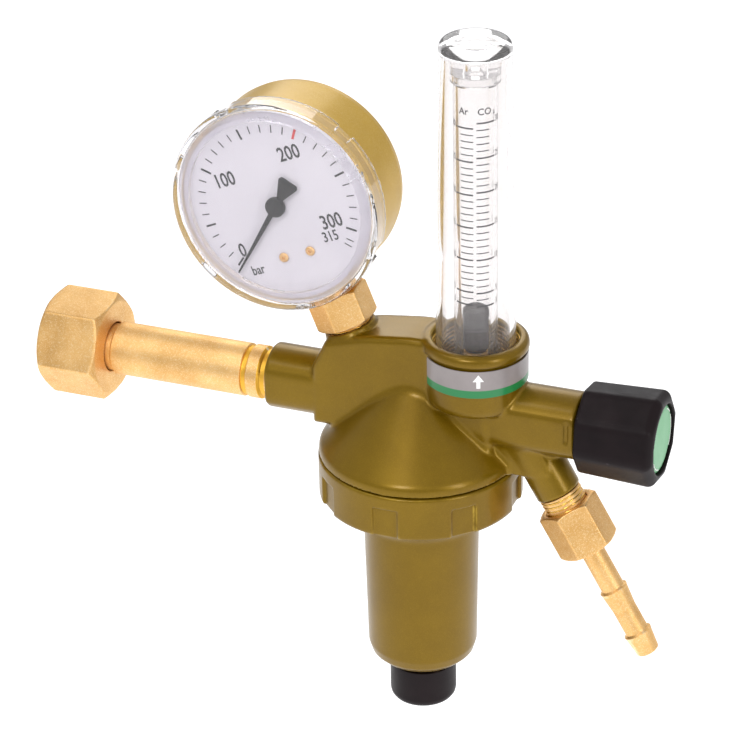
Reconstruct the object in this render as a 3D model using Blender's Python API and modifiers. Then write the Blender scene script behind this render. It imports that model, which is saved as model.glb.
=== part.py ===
"""Shielding-gas cylinder regulator with a contents gauge, a flow tube and a hose tail.

Frame: the origin is the centre of the sealing face that meets the cylinder valve. +X runs along
the arm towards the flow knob, +Z is up, and the front, where the dial looks, is -Y.
Every dimension is in millimetres and is scaled to metres when a mesh is made.
"""
from math import asin, atan2, cos, pi, radians, sin, tan

import bmesh
import bpy
from mathutils import Matrix, Vector

MM = 0.001
GAP = 0.3

# Cylinder connection: a W21.8 nut over a nipple with a flat seal
NUT_FLATS = 30.0
NUT_FRONT = -10.1
NUT_BACK = 10.4
NUT_WEB = 5.5
SEAL_THICKNESS = 1.7
NIPPLE_FACE = SEAL_THICKNESS + GAP
FLANGE_BACK = 5.1
SHOULDER = 12.6

# Casting: slab, inlet boss, valve arm, flow socket, outlet boss and bell
BONNET_X = 114.0
SLAB_HALF = 9.1
BOSS_FACE = BONNET_X - 48.3
BOSS_RADIUS = 10.2
ARM_END = BONNET_X + 52.0
ARM_RADIUS = 10.4
BELL_RADIUS = 31.4
SEAM_Z = -17.2
SPIGOT_RADIUS = 28.5
SPIGOT_END = -24.0
CHAMBER_RADIUS = 24.5

# Flow meter
TUBE_X = BONNET_X + 18.2
SOCKET_RADIUS = 15.3
SOCKET_FLOOR = 12.0
SOCKET_TOP = 25.0
COVER_TOP = 119.7
FLOAT_REST = 21.0

# Needle valve and knob
NEEDLE_SEAT = 142.5
KNOB_BACK = BONNET_X + 53.0
KNOB_FRONT = BONNET_X + 77.5

# Bonnet, spring and adjusting screw
RING_RADIUS = 31.7
RING_BOTTOM = -32.0
HOUSING_FLOOR = -86.5
NECK_END = -94.2
SCREW_TOP = -77.3
SCREW_END = -103.5

# Gauge: nominal size 63, on a stem that leans 22 degrees towards the inlet
GAUGE_TILT = -22.0
PORT = (BONNET_X - 22.4, 21.0)
PORT_TO_DIAL = 46.7
CASE_RADIUS = 31.0
CASE_BACK = -15.8
BEZEL_RADIUS = 33.0
DIAL_FRONT = 11.7
SECTOR_PIVOT = (9.0, -13.47)
ZERO_MARK = -129.5

# Outlet: a G1/4 nipple with a nut and a hose tail, 30 degrees off vertical
OUTLET_END = (BONNET_X + 44.9, -23.9)
OUTLET_TURN = 150.0
OUTLET_BOSS_RADIUS = 7.1
HOSE_NUT_FLATS = 17.0

# name: colour, roughness, metallic
FINISHES = {
    "olive_paint": ((0.22, 0.155, 0.03), 0.35, 0.6),
    "brass": ((0.80, 0.55, 0.24), 0.3, 1.0),
    "gold_paint": ((0.62, 0.47, 0.17), 0.4, 0.7),
    "clear_plastic": ((0.86, 0.88, 0.88), 0.05, 0.0),
    "black_plastic": ((0.015, 0.013, 0.014), 0.45, 0.0),
    "green_plastic": ((0.25, 0.60, 0.33), 0.35, 0.0),
    "dial_white": ((0.80, 0.79, 0.80), 0.5, 0.0),
    "pointer_black": ((0.01, 0.01, 0.012), 0.4, 0.0),
    "float_grey": ((0.10, 0.085, 0.075), 0.5, 0.0),
    "spring_steel": ((0.45, 0.45, 0.46), 0.35, 1.0),
    "rubber": ((0.02, 0.02, 0.02), 0.7, 0.0),
    "seal_fibre": ((0.30, 0.10, 0.06), 0.7, 0.0),
    "sintered_bronze": ((0.35, 0.22, 0.10), 0.8, 0.9),
    "printed_label": ((0.36, 0.32, 0.31), 0.4, 0.0),
}


# ---------------------------------------------------------------- tools

def clear_scene():
    for old in list(bpy.data.objects):
        bpy.data.objects.remove(old, do_unlink=True)


def new_collection(name):
    collection = bpy.data.collections.new(name)
    bpy.context.scene.collection.children.link(collection)
    return collection


def make_material(name):
    colour, roughness, metallic = FINISHES[name]
    material = bpy.data.materials.new(name)
    material.use_nodes = True
    shader = material.node_tree.nodes["Principled BSDF"]
    shader.inputs["Base Color"].default_value = (*colour, 1.0)
    shader.inputs["Roughness"].default_value = roughness
    shader.inputs["Metallic"].default_value = metallic
    return material


clear_scene()
PART = new_collection("gas_regulator")
CUTTERS = new_collection("cutters")
MATERIALS = {name: make_material(name) for name in FINISHES}


def add(name, mesh, finish, at=(0, 0, 0), turn=(0, 0, 0), parent=None):
    """Add a mesh or a curve to the part, or to the cutters where it has no finish."""
    item = bpy.data.objects.new(name, mesh)
    item.location = Vector(at) * MM
    item.rotation_euler = [radians(angle) for angle in turn]
    item.parent = parent
    if finish is None:
        CUTTERS.objects.link(item)
        item.hide_render = True
        item.display_type = "WIRE"
    else:
        PART.objects.link(item)
        mesh.materials.append(MATERIALS[finish])
    return item


def empty(name, at, turn):
    item = bpy.data.objects.new(name, None)
    item.location = Vector(at) * MM
    item.rotation_euler = [radians(angle) for angle in turn]
    PART.objects.link(item)
    return item


def fillet(before, corner, after, radius, steps):
    """The points of an arc that rounds one corner of an outline."""
    middle = Vector(corner[:2])
    back = (Vector(before[:2]) - middle).normalized()
    ahead = (Vector(after[:2]) - middle).normalized()
    half = back.angle(ahead) / 2
    centre = middle + (back + ahead).normalized() * radius / sin(half)
    reach = radius / tan(half)
    first = middle + back * reach - centre
    last = middle + ahead * reach - centre
    start = atan2(first.y, first.x)
    sweep = (atan2(last.y, last.x) - start + pi) % (2 * pi) - pi
    angles = [start + sweep * step / steps for step in range(steps + 1)]
    return [(centre.x + radius * cos(a), centre.y + radius * sin(a)) for a in angles]


def outline(points, closed, steps=3):
    """An outline whose corners are (a, b), or (a, b, radius) for a rounded one."""
    result = []
    for index, point in enumerate(points):
        inner = closed or 0 < index < len(points) - 1
        if len(point) == 3 and inner:
            after = points[(index + 1) % len(points)]
            result += fillet(points[index - 1], point, after, point[2], steps)
        else:
            result.append(point[:2])
    return result


def turned(name, points, finish, closed=False, steps=24, rounding=2, **place):
    """A piece turned about its own Z axis from (radius, height) points, outer side first."""
    profile = outline(points, closed, rounding)
    count = len(profile)
    edges = [(i, i + 1) for i in range(count - 1)]
    if closed:
        edges.append((count - 1, 0))
    mesh = bpy.data.meshes.new(name)
    mesh.from_pydata([(r * MM, 0, z * MM) for r, z in profile], edges, [])
    item = add(name, mesh, finish, **place)
    screw = item.modifiers.new("turn", "SCREW")
    screw.steps = steps
    screw.render_steps = steps
    screw.use_merge_vertices = True
    screw.merge_threshold = 0.00001
    screw.use_smooth_shade = True
    return item


def rod(name, radius, low, high, finish, steps=20, **place):
    """A plain round bar along its own Z axis."""
    points = [(0, high), (radius, high), (radius, low), (0, low)]
    return turned(name, points, finish, steps=steps, **place)


def ring(name, inner, outer, low, high, finish, steps=24, **place):
    """A plain washer or sleeve along its own Z axis."""
    points = [(outer, high), (outer, low), (inner, low), (inner, high)]
    return turned(name, points, finish, closed=True, steps=steps, **place)


def torus(name, radius, thickness, height, finish, steps=24, sides=6, **place):
    """A round-section ring, such as an O-ring."""
    angles = [-2 * pi * side / sides for side in range(sides)]
    points = [(radius + thickness * cos(a), height + thickness * sin(a)) for a in angles]
    return turned(name, points, finish, closed=True, steps=steps, **place)


def prism(name, flats, low, high, finish, sides=6, spin=0.0, grow=0.0, **place):
    """A bar with flat sides along its own Z axis; grow widens it from low to high."""
    scale = 1 / cos(pi / sides)
    mesh = bpy.data.meshes.new(name)
    shape = bmesh.new()
    bmesh.ops.create_cone(
        shape, cap_ends=True, segments=sides, depth=(high - low) * MM,
        radius1=flats / 2 * scale * MM, radius2=(flats / 2 + grow) * scale * MM)
    bmesh.ops.rotate(shape, verts=shape.verts, matrix=rotation_z(spin))
    bmesh.ops.translate(shape, verts=shape.verts, vec=(0, 0, (low + high) / 2 * MM))
    shape.to_mesh(mesh)
    shape.free()
    return add(name, mesh, finish, **place)


def rotation_z(angle):
    return Matrix.Rotation(radians(angle), 3, "Z")


def box(name, low, high, finish, bevel=0.0, **place):
    """A block between two corners."""
    mesh = bpy.data.meshes.new(name)
    shape = bmesh.new()
    bmesh.ops.create_cube(shape, size=MM)
    size = [top - bottom for bottom, top in zip(low, high)]
    middle = [(top + bottom) / 2 * MM for bottom, top in zip(low, high)]
    bmesh.ops.scale(shape, verts=shape.verts, vec=size)
    bmesh.ops.translate(shape, verts=shape.verts, vec=middle)
    shape.to_mesh(mesh)
    shape.free()
    item = add(name, mesh, finish, **place)
    if bevel:
        round_edges(item, bevel)
    return item


def round_edges(item, width, segments=2):
    bevel = item.modifiers.new("edges", "BEVEL")
    bevel.width = width * MM
    bevel.segments = segments
    bevel.limit_method = "ANGLE"
    bevel.angle_limit = radians(40)


def curve_to_mesh(item, finish):
    """Replace a curve by a closed mesh in the same place."""
    bpy.context.view_layer.update()
    solid = bpy.data.meshes.new_from_object(item.evaluated_get(
        bpy.context.evaluated_depsgraph_get()))
    shape = bmesh.new()
    shape.from_mesh(solid)
    bmesh.ops.remove_doubles(shape, verts=shape.verts, dist=0.000001)
    shape.to_mesh(solid)
    shape.free()
    solid.materials.clear()
    name = item.name
    place = item.matrix_world.copy()
    bpy.data.objects.remove(item, do_unlink=True)
    result = add(name, solid, finish)
    result.matrix_world = place
    return result


def plate(name, points, half, finish, rounding=3, **place):
    """A flat outline in its own XY plane, solid from -half to +half along Z."""
    curve = bpy.data.curves.new(name, "CURVE")
    curve.dimensions = "2D"
    curve.fill_mode = "BOTH"
    curve.extrude = half * MM
    path = outline(points, True, rounding)
    spline = curve.splines.new("POLY")
    spline.points.add(len(path) - 1)
    for point, (x, y) in zip(spline.points, path):
        point.co = (x * MM, y * MM, 0, 1)
    spline.use_cyclic_u = True
    return curve_to_mesh(add(name, curve, finish, **place), finish)


def wire(name, path, radius, finish, resolution=2, **place):
    """A round wire through a list of points."""
    curve = bpy.data.curves.new(name, "CURVE")
    curve.dimensions = "3D"
    curve.bevel_depth = radius * MM
    curve.bevel_resolution = resolution
    curve.use_fill_caps = True
    spline = curve.splines.new("POLY")
    spline.points.add(len(path) - 1)
    for point, place_on_path in zip(spline.points, path):
        point.co = (*[value * MM for value in place_on_path], 1)
    return add(name, curve, finish, **place)


def coil(radius, low, high, turns, steps=12):
    """Points of a helix about Z."""
    count = round(turns * steps)
    return [(radius * cos(2 * pi * i / steps), radius * sin(2 * pi * i / steps),
             low + (high - low) * i / count) for i in range(count + 1)]


def combine(item, operation, others):
    for other in others:
        step = item.modifiers.new(other.name, "BOOLEAN")
        step.operation = operation
        step.object = other
    return item


def cut(item, *others):
    return combine(item, "DIFFERENCE", others)


def join(item, *others):
    return combine(item, "UNION", others)


def keep_inside(item, *others):
    return combine(item, "INTERSECT", others)


def bar_between(name, start, end, radius, finish=None):
    """A round bar between two (x, z) points of the middle plane."""
    run = Vector((end[0] - start[0], 0, end[1] - start[1]))
    lean = 90 - atan2(run.z, run.x) * 180 / pi
    return rod(name, radius, 0, run.length, finish, steps=16, at=(start[0], 0, start[1]),
               turn=(0, lean, 0))


ALONG_X = (0, 90, 0)
ALONG_Y = (90, 0, 0)
AT_BONNET = (BONNET_X, 0, 0)
AT_TUBE = (TUBE_X, 0, 0)


# ---------------------------------------------------------------- cylinder connection

def hex_nut(name, flats, low, high, chamfer, spin, bores, finish, **place):
    """A nut with turned chamfers at both ends; bores are (radius, from, to)."""
    corner = flats / 2 / cos(pi / 6)
    nut = prism(name, flats, low, high, finish, spin=spin, **place)
    drop = chamfer * tan(radians(30))
    rim = corner - chamfer
    limit = [(0, high + 1), (rim, high + 1), (rim, high), (corner + 0.3, high - drop),
             (corner + 0.3, low + drop), (rim, low), (rim, low - 1), (0, low - 1)]
    keep_inside(nut, turned(name + "_limit", limit, None, steps=36, **place))
    for index, (radius, start, end) in enumerate(bores):
        cut(nut, rod(f"{name}_bore_{index}", radius, start, end, None, steps=24, **place))
    return nut


hex_nut("inlet_nut", NUT_FLATS, NUT_FRONT, NUT_BACK, 2.6, 5.5,
        [(10.1, NUT_FRONT - 1, NUT_WEB), (7.9, NUT_WEB - 1, NUT_BACK + 1)],
        "brass", turn=ALONG_X)

turned("inlet_stem", [
    (9.4, NIPPLE_FACE), (4.3, NIPPLE_FACE), (4.3, 17), (2.6, 17), (2.6, 75.5), (7.5, 75.5),
    (7.5, 63.6), (8.4, 62.8), (8.4, 59), (7.7, 58.7), (7.7, 57.3), (8.4, 57), (8.4, SHOULDER),
    (7.5, SHOULDER - 0.5), (7.5, FLANGE_BACK), (9.4, FLANGE_BACK)],
    "brass", closed=True, steps=20, turn=ALONG_X)
ring("inlet_gasket", 4.6, 9.0, 0, SEAL_THICKNESS, "seal_fibre", turn=ALONG_X)
rod("inlet_filter", 4.0, 4, 14, "sintered_bronze", steps=20, turn=ALONG_X)


# ---------------------------------------------------------------- body casting

def flatted_round(radius, flat, steps=8):
    """A circle cut off square at plus and minus flat along Y."""
    reach = asin(flat / radius)
    swing = [reach * (2 * step / steps - 1) for step in range(steps + 1)]
    return [(radius * cos(side + a), radius * sin(side + a)) for side in (0, pi) for a in swing]


def body_casting():
    left = BONNET_X - 32.4
    slab_outline = [
        (left, -BOSS_RADIUS + 0.1, 1), (left, 9.5, 4), (BONNET_X - 27.6, 19.2, 2.5),
        (BONNET_X - 15.7, 22.6, 40), (BONNET_X, 24.6, 40), (TUBE_X + 4, 24.4),
        (TUBE_X + 8, -BOSS_RADIUS + 0.1)]
    body = plate("body_casting", slab_outline, SLAB_HALF, "olive_paint", turn=ALONG_Y)
    round_edges(body, 2.2)
    web_outline = [
        (BONNET_X + 8, -4), (BONNET_X + 40, -4), (BONNET_X + 43, -15),
        (BONNET_X + 35.5, SEAM_Z - 0.2, 2), (BONNET_X + 8, SEAM_Z - 0.2)]
    web = plate("web", web_outline, 6.6, None, turn=ALONG_Y)
    boss = plate("inlet_boss", flatted_round(BOSS_RADIUS, SLAB_HALF - 0.1), 14, None,
                 at=(BOSS_FACE + 14, 0, 0), turn=ALONG_X)
    round_edges(boss, 1.2, 1)
    arm_half = (ARM_END - TUBE_X) / 2
    arm = plate("valve_arm", flatted_round(ARM_RADIUS, SLAB_HALF - 0.1), arm_half, None,
                at=(ARM_END - arm_half, 0, 0), turn=ALONG_X)
    round_edges(arm, 0.8, 1)
    bell = turned("bell", [
        (0, 16.9), (BELL_RADIUS, 16.9 - BELL_RADIUS, 3), (BELL_RADIUS, SEAM_Z),
        (SPIGOT_RADIUS, SEAM_Z), (SPIGOT_RADIUS, SPIGOT_END), (0, SPIGOT_END)],
        None, steps=32, at=AT_BONNET)
    socket = turned("socket", [
        (0, SOCKET_TOP), (SOCKET_RADIUS + 0.9, SOCKET_TOP, 1.8),
        (SOCKET_RADIUS + 0.9, SOCKET_TOP - 3), (SOCKET_RADIUS, SOCKET_TOP - 4),
        (SOCKET_RADIUS, 3.3, 3), (0, 3.3)], None, steps=32, at=AT_TUBE)
    outlet = rod("outlet_boss", OUTLET_BOSS_RADIUS, -26, 0, None, steps=24,
                 at=(OUTLET_END[0], 0, OUTLET_END[1]), turn=(0, OUTLET_TURN, 0))
    gauge_pad = rod("gauge_pad", 8.2, -8, 0.6, None, at=(PORT[0], 0, PORT[1]),
                    turn=(0, GAUGE_TILT, 0))
    join(body, web, boss, arm, bell, socket, outlet, gauge_pad)

    chamber = turned("chamber", [
        (0, 10), (5, 10), (5, -1.2), (6.2, -1.2), (6.2, -6), (15, -6),
        (CHAMBER_RADIUS, -15.5), (CHAMBER_RADIUS, SPIGOT_END - 2), (0, SPIGOT_END - 2)],
        None, at=AT_BONNET)
    inlet = turned("inlet_way", [
        (0, BONNET_X - 1), (3.2, BONNET_X - 1), (3.2, 76), (7.9, 76), (7.9, BOSS_FACE - 2),
        (0, BOSS_FACE - 2)], None, steps=20, turn=ALONG_X)
    port = turned("gauge_way", [
        (0, 4), (6.9, 4), (6.9, -9), (2.2, -9), (2.2, -22.6), (0, -22.6)], None, steps=20,
        at=(PORT[0], 0, PORT[1]), turn=(0, GAUGE_TILT, 0))
    well = turned("tube_well", [
        (0, SOCKET_TOP + 2), (13.2, SOCKET_TOP + 2), (13.2, SOCKET_FLOOR), (6.3, SOCKET_FLOOR),
        (6.3, 7.5), (0, 7.5)], None, at=AT_TUBE)
    needle = turned("needle_way", [
        (0, ARM_END + 2), (7.8, ARM_END + 2), (7.8, 158.2), (4.4, 158.2), (4.4, NEEDLE_SEAT + 2),
        (1.5, NEEDLE_SEAT), (1.5, 138.9), (0, 138.9)], None, steps=20, turn=ALONG_X)
    outlet_way = turned("outlet_way", [
        (0, 2), (5.1, 2), (5.1, -9.3), (2.4, -9.3), (2.4, -27.6), (0, -27.6)], None, steps=20,
        at=(OUTLET_END[0], 0, OUTLET_END[1]), turn=(0, OUTLET_TURN, 0))
    riser = bar_between("riser", (BONNET_X + 12.5, -8), (TUBE_X, 8.5), 1.8)
    drain = rod("drain", 1.3, -0.5, SOCKET_FLOOR + 1, None, steps=12,
                at=(TUBE_X + 8.2, 0, 0))
    return cut(body, chamber, inlet, port, well, needle, outlet_way, riser, drain)


body_casting()


# ---------------------------------------------------------------- reducing valve

turned("valve_seat", [(5.9, -1.5), (5.9, -5.7), (1.9, -5.7), (1.9, -2.4), (1.4, -1.5)],
       "brass", closed=True, steps=24, at=AT_BONNET)
turned("valve_poppet", [
    (0, 4.6), (1.6, 4.6), (1.6, 3), (3.4, 3), (3.4, -1.2), (1.05, -1.2), (1.05, -18.7), (0, -18.7)],
    "brass", steps=20, at=AT_BONNET)
wire("poppet_spring", coil(2.7, 3.8, 9.2, 4, 8), 0.4, "spring_steel", 1, at=AT_BONNET)
turned("diaphragm_plate", [
    (0, -19), (3, -19), (3, -22.4), (12, -22.4), (12, SPIGOT_END), (0, SPIGOT_END)],
    "brass", at=AT_BONNET)
rod("diaphragm", 28.3, SPIGOT_END - 1.1, SPIGOT_END - GAP, "rubber", steps=32, at=AT_BONNET)
ring("slip_washer", 24.7, 28.3, -26.0, -25.4, "spring_steel", at=AT_BONNET)
turned("spring_seat", [
    (0, -25.4), (14.4, -25.4), (14.4, -27.4), (9.6, -27.4), (9.6, -30), (0, -30)],
    "spring_steel", at=AT_BONNET)


# ---------------------------------------------------------------- bonnet and adjusting screw

def spring_bonnet():
    bonnet = turned("spring_bonnet", [
        (28.8, SEAM_Z - 0.5), (RING_RADIUS, SEAM_Z - 0.5, 0.6), (RING_RADIUS, RING_BOTTOM, 1),
        (23, RING_BOTTOM - 0.8, 3), (18.1, -41, 3), (17.2, HOUSING_FLOOR - 5.5, 6),
        (9.6, -92), (9.6, NECK_END), (8.5, NECK_END), (8.5, -98.5), (4.3, -98.5),
        (4.3, HOUSING_FLOOR), (15, HOUSING_FLOOR), (15.6, -37), (24.4, -27.4),
        (24.4, -26.3), (28.8, -26.3)], "olive_paint", closed=True, steps=28, at=AT_BONNET)
    mesh = bpy.data.meshes.new("spanner_slots")
    shape = bmesh.new()
    slots = 8
    for index in range(slots):
        angle = 2 * pi * index / slots
        made = bmesh.ops.create_cube(shape, size=MM)["verts"]
        bmesh.ops.scale(shape, verts=made, vec=(4, 7.8, 12))
        bmesh.ops.translate(shape, verts=made, vec=((RING_RADIUS + 0.8) * MM, 0, -28.1 * MM))
        bmesh.ops.rotate(shape, verts=made, matrix=rotation_z(angle * 180 / pi))
    shape.to_mesh(mesh)
    shape.free()
    return cut(bonnet, add("spanner_slots", mesh, None, at=AT_BONNET))


spring_bonnet()
turned("spring_button", [
    (0, -71.5), (9.4, -71.5), (9.4, -73.8), (13.6, -73.8), (13.6, -77), (0, -77)],
    "spring_steel", at=AT_BONNET)
wire("main_spring", coil(12, -29.1, -72.1, 6, 10), 1.3, "spring_steel", 1, at=AT_BONNET)
adjusting_screw = turned("adjusting_screw", [
    (0, SCREW_TOP), (2.4, SCREW_TOP), (3.9, SCREW_TOP - 1.5), (3.9, SCREW_END + 0.8),
    (3.2, SCREW_END), (0, SCREW_END)], "spring_steel", at=AT_BONNET)
cut(adjusting_screw, box("screw_slot", (-5, -0.6, SCREW_END - 1), (5, 0.6, SCREW_END + 2),
                         None, at=AT_BONNET))
turned("screw_cap", [
    (0, -106.4), (7.2, -106.4), (7.2, -99), (8.9, -99), (8.9, NECK_END - GAP),
    (10.6, NECK_END - GAP), (10.6, -108, 2.6), (0, -108)], "black_plastic", at=AT_BONNET)


# ---------------------------------------------------------------- flow meter

turned("cover_tube", [
    (0, COVER_TOP), (10.7, COVER_TOP, 2.6), (12.2, 20), (12.8, 20), (12.8, 14.4), (10.4, 14.4),
    (8.8, COVER_TOP - 4), (0, COVER_TOP - 4)], "clear_plastic", steps=32, at=AT_TUBE)
torus("cover_o_ring", 11.3, 0.8, 13.2, "rubber", at=AT_TUBE)
turned("metering_tube", [
    (6.0, 109.6), (6.0, 107.2), (6.5, 106.8), (6.5, 21.6), (5.9, 21.2), (5.9, 13.8),
    (4.3, 13.8), (5.3, 109.6)], "clear_plastic", closed=True, steps=32, at=AT_TUBE)
turned("tube_seat", [
    (3.7, FLOAT_REST - GAP), (3.7, 13.5), (6, 13.5), (6, 7.8), (1.4, 7.8),
    (1.4, FLOAT_REST - GAP)], "brass", closed=True, steps=24, at=AT_TUBE)
turned("flow_float", [
    (0, 34.6), (4.0, 34.6), (4.0, 32.4), (3.8, 31.9), (3.8, FLOAT_REST + 1.2),
    (3.2, FLOAT_REST), (0, FLOAT_REST)], "float_grey", steps=24, at=AT_TUBE)
turned("tube_top_guide", [
    (7.4, 115.3), (7.4, 107.6), (6.4, 107.6), (6.4, 110.0), (2.2, 110.0), (2.2, 115.3)],
    "clear_plastic", closed=True, steps=24, at=AT_TUBE)
LABEL_GAP = [(30 * cos(radians(a)), 30 * sin(radians(a))) for a in (138, 180, 222)]
cut(ring("label_band", SOCKET_RADIUS + GAP, SOCKET_RADIUS + 0.6, 11.8, 20.6, "printed_label",
         at=AT_TUBE),
    plate("label_gap", [(0, 0), *LABEL_GAP], 30, None, at=AT_TUBE))


# ---------------------------------------------------------------- needle valve and knob

turned("needle_spindle", [
    (0, 179.5), (1.5, 179.5), (1.5, 186), (3, 186), (3, 156), (4, 156), (4, 154.4),
    (2.6, 154.4), (2.6, 152), (4, 152), (4, 146), (2.6, 146), (2.6, 144.6), (1.2, 143.4),
    (0.5, 141.2), (0, 141.2)], "brass", steps=12, turn=ALONG_X)
torus("spindle_o_ring", 3.5, 0.55, 153.2, "rubber", steps=24, turn=ALONG_X)
ring("gland_nut", 3.4, 7.4, 158.5, ARM_END - 0.2, "brass", steps=24, turn=ALONG_X)


def flow_knob():
    knob = turned("flow_knob", [
        (13.9, KNOB_BACK, 1), (14.9, KNOB_FRONT, 3.4), (10.9, KNOB_FRONT),
        (10.9, KNOB_FRONT - 2.1), (3.7, KNOB_FRONT - 2.1), (3.7, 186.3), (3.3, 186.3),
        (3.3, 172), (10.6, 172), (10.6, KNOB_BACK)][::-1], "black_plastic", closed=True,
        turn=ALONG_X)
    facets = prism("knob_facets", 27.0, KNOB_BACK - 1, KNOB_FRONT + 1, None, sides=8, spin=12,
                   grow=0.9, turn=ALONG_X)
    return keep_inside(knob, facets)


flow_knob()
turned("knob_screw", [
    (0, 189), (3.3, 189), (3.3, 186.7), (1.2, 186.7), (1.2, 180.2), (0, 180.2)],
    "spring_steel", steps=20, turn=ALONG_X)
rod("knob_cap", 10.6, KNOB_FRONT - 1.8, KNOB_FRONT - 0.4, "green_plastic", steps=32,
    turn=ALONG_X)


# ---------------------------------------------------------------- outlet

OUTLET = {"at": (OUTLET_END[0], 0, OUTLET_END[1]), "turn": (0, OUTLET_TURN, 0)}
turned("outlet_nipple", [
    (6.6, 9.6), (6.6, GAP), (4.8, GAP), (4.8, -9), (2.2, -9), (2.2, 6.6), (4, 9.6)],
    "brass", closed=True, **OUTLET)
hex_nut("hose_nut", HOSE_NUT_FLATS, 5.0, 20.5, 1.4, 0.0,
        [(6.95, 4, 15.8), (4.7, 15, 22)], "brass", **OUTLET)
turned("hose_barb", [
    (3.0, 59.8), (3.6, 59.4), (4.3, 53.4), (4.5, 52.4), (3.7, 51.8), (3.7, 43.4), (4.3, 37.2),
    (4.5, 36.2), (3.7, 35.6), (3.7, 22), (4.3, 21.4), (4.3, 15.4), (6.5, 15.4), (6.5, 12.6),
    (3.8, 9.9), (2.0, 9.9), (2.0, 59.8)], "brass", closed=True, steps=16, **OUTLET)


# ---------------------------------------------------------------- contents gauge

LEAN = radians(GAUGE_TILT)
GAUGE = empty("gauge_centre", (
    PORT[0] + PORT_TO_DIAL * sin(LEAN), 0, PORT[1] + PORT_TO_DIAL * cos(LEAN)),
    (0, GAUGE_TILT, 0))
FACING = {"turn": ALONG_Y, "parent": GAUGE}
UPRIGHT = {"parent": GAUGE}


def on_dial(angle, radius):
    """(x, z) on the dial, for an angle clockwise from the top."""
    return radius * sin(radians(angle)), radius * cos(radians(angle))


def gauge_case():
    case = turned("gauge_case", [
        (0, CASE_BACK + 0.8), (30.1, CASE_BACK + 0.8, 5), (30.1, 12.4), (CASE_RADIUS, 12.4),
        (CASE_RADIUS, CASE_BACK, 6), (0, CASE_BACK)], "gold_paint", steps=32, **FACING)
    return cut(case, rod("stem_hole", 5.9, -40, -20, None, **UPRIGHT))


def gauge_socket():
    port = -PORT_TO_DIAL
    socket = turned("gauge_socket", [
        (0, -24), (5.5, -24), (5.5, port + 12), (6.5, port + 12), (6.5, port - 8.5),
        (0, port - 8.5)], "brass", steps=24, **UPRIGHT)
    flats = prism("gauge_flats", 17.0, port + 1.8, port + 12.6, None, spin=0, **UPRIGHT)
    block = box("gauge_block", (-4, -6.9, -25), (4, 1.0, -16), None, **UPRIGHT)
    stub = box("tube_stub", (-5.5, -3.6, -22), (0, -0.4, -18), None, **UPRIGHT)
    way = rod("gauge_bore", 1.5, port - 10, -18, None, steps=12, **UPRIGHT)
    return cut(join(socket, flats, block, stub), way)


def bourdon_tube():
    """A hooked tube that uncurls a little as pressure rises."""
    steps = 25
    radius = 20.0
    angles = [radians(250 - 240 * step / steps) for step in range(steps + 1)]
    path = [(radius * cos(a), -2.0, radius * sin(a)) for a in angles]
    return wire("bourdon_tube", path, 1.7, "brass", 1, **UPRIGHT)


def movement_frame():
    spots = [(0, 0, 1.25), (*SECTOR_PIVOT, 1.15)]
    frame = box("movement_frame", (-7, 1.5, -18), (12, 2.5, 4), "brass", **UPRIGHT)
    front = box("front_plate", (-7, -8.5, -18), (12, -7.5, 4), None, **UPRIGHT)
    pillars = [
        rod(f"pillar_{index}", 1.0, -2, 8, None, steps=12, at=(x, 0, z), **FACING)
        for index, (x, z) in enumerate([(-5.6, -14.6), (10.8, 2.6)])]
    holes = [
        rod(f"pivot_hole_{index}", radius, -6, 12, None, steps=16, at=(x, 0, z), **FACING)
        for index, (x, z, radius) in enumerate(spots)]
    return cut(join(frame, front, *pillars), *holes)


def sector_gear():
    """A thin quadrant on its pivot, with a short tail that carries the link's pin."""
    x, z = SECTOR_PIVOT
    reach = 14.3
    rim = [(reach * cos(radians(a)), reach * sin(radians(a))) for a in range(86, 129, 6)]
    shape = [(2.2, 1.6), *rim, (-2.2, 1.2), (-2.0, -2.0), (5.6, -1.2), (5.8, 1.2)]
    gear = plate("sector_gear", shape, 0.5, "brass", at=(x, -3.5, z), **FACING)
    shaft = rod("sector_shaft", 0.8, -2.8, 9.0, None, steps=12, at=(x, 0, z), **FACING)
    pin = rod("link_pin", 0.5, 3.5, 6.0, None, steps=8, at=(x + 4.6, 0, z), **FACING)
    return join(gear, shaft, pin)


def gauge_link():
    """The strut between the hooked tube's tip and the sector's tail."""
    x, z = SECTOR_PIVOT[0] + 4.6, SECTOR_PIVOT[1]
    strut = plate("gauge_link", [(1.5, -1.5, 1), (5.6, 15.2, 1), (3.0, 16, 1), (-1.5, 1, 1)],
                  0.25, "brass", rounding=2, at=(x, -5.2, z), **FACING)
    return cut(strut, rod("link_eye", 0.85, 3, 8, None, steps=12, at=(x, 0, z), **FACING))


def gauge_pointer():
    """A tapered blade with a flared tail, on a round hub."""
    blade = [(-1.9, 9.7, 0.6), (0, 8.9), (1.9, 9.7, 0.6), (0.75, 3), (0.75, -3),
             (0.28, -26.8), (-0.28, -26.8), (-0.75, -3), (-0.75, 3)][::-1]
    pointer = plate("gauge_pointer", [(-x, -y, *r) for x, y, *r in blade], 0.2,
                    "pointer_black", at=(0, -13.2, 0), turn=(90, ZERO_MARK, 0), parent=GAUGE)
    hub = rod("pointer_hub", 3.1, 12.5, 14.1, None, **FACING)
    hole = rod("pointer_bore", 1.15, 12, 13.7, None, steps=16, **FACING)
    return cut(join(pointer, hub), hole)


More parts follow.
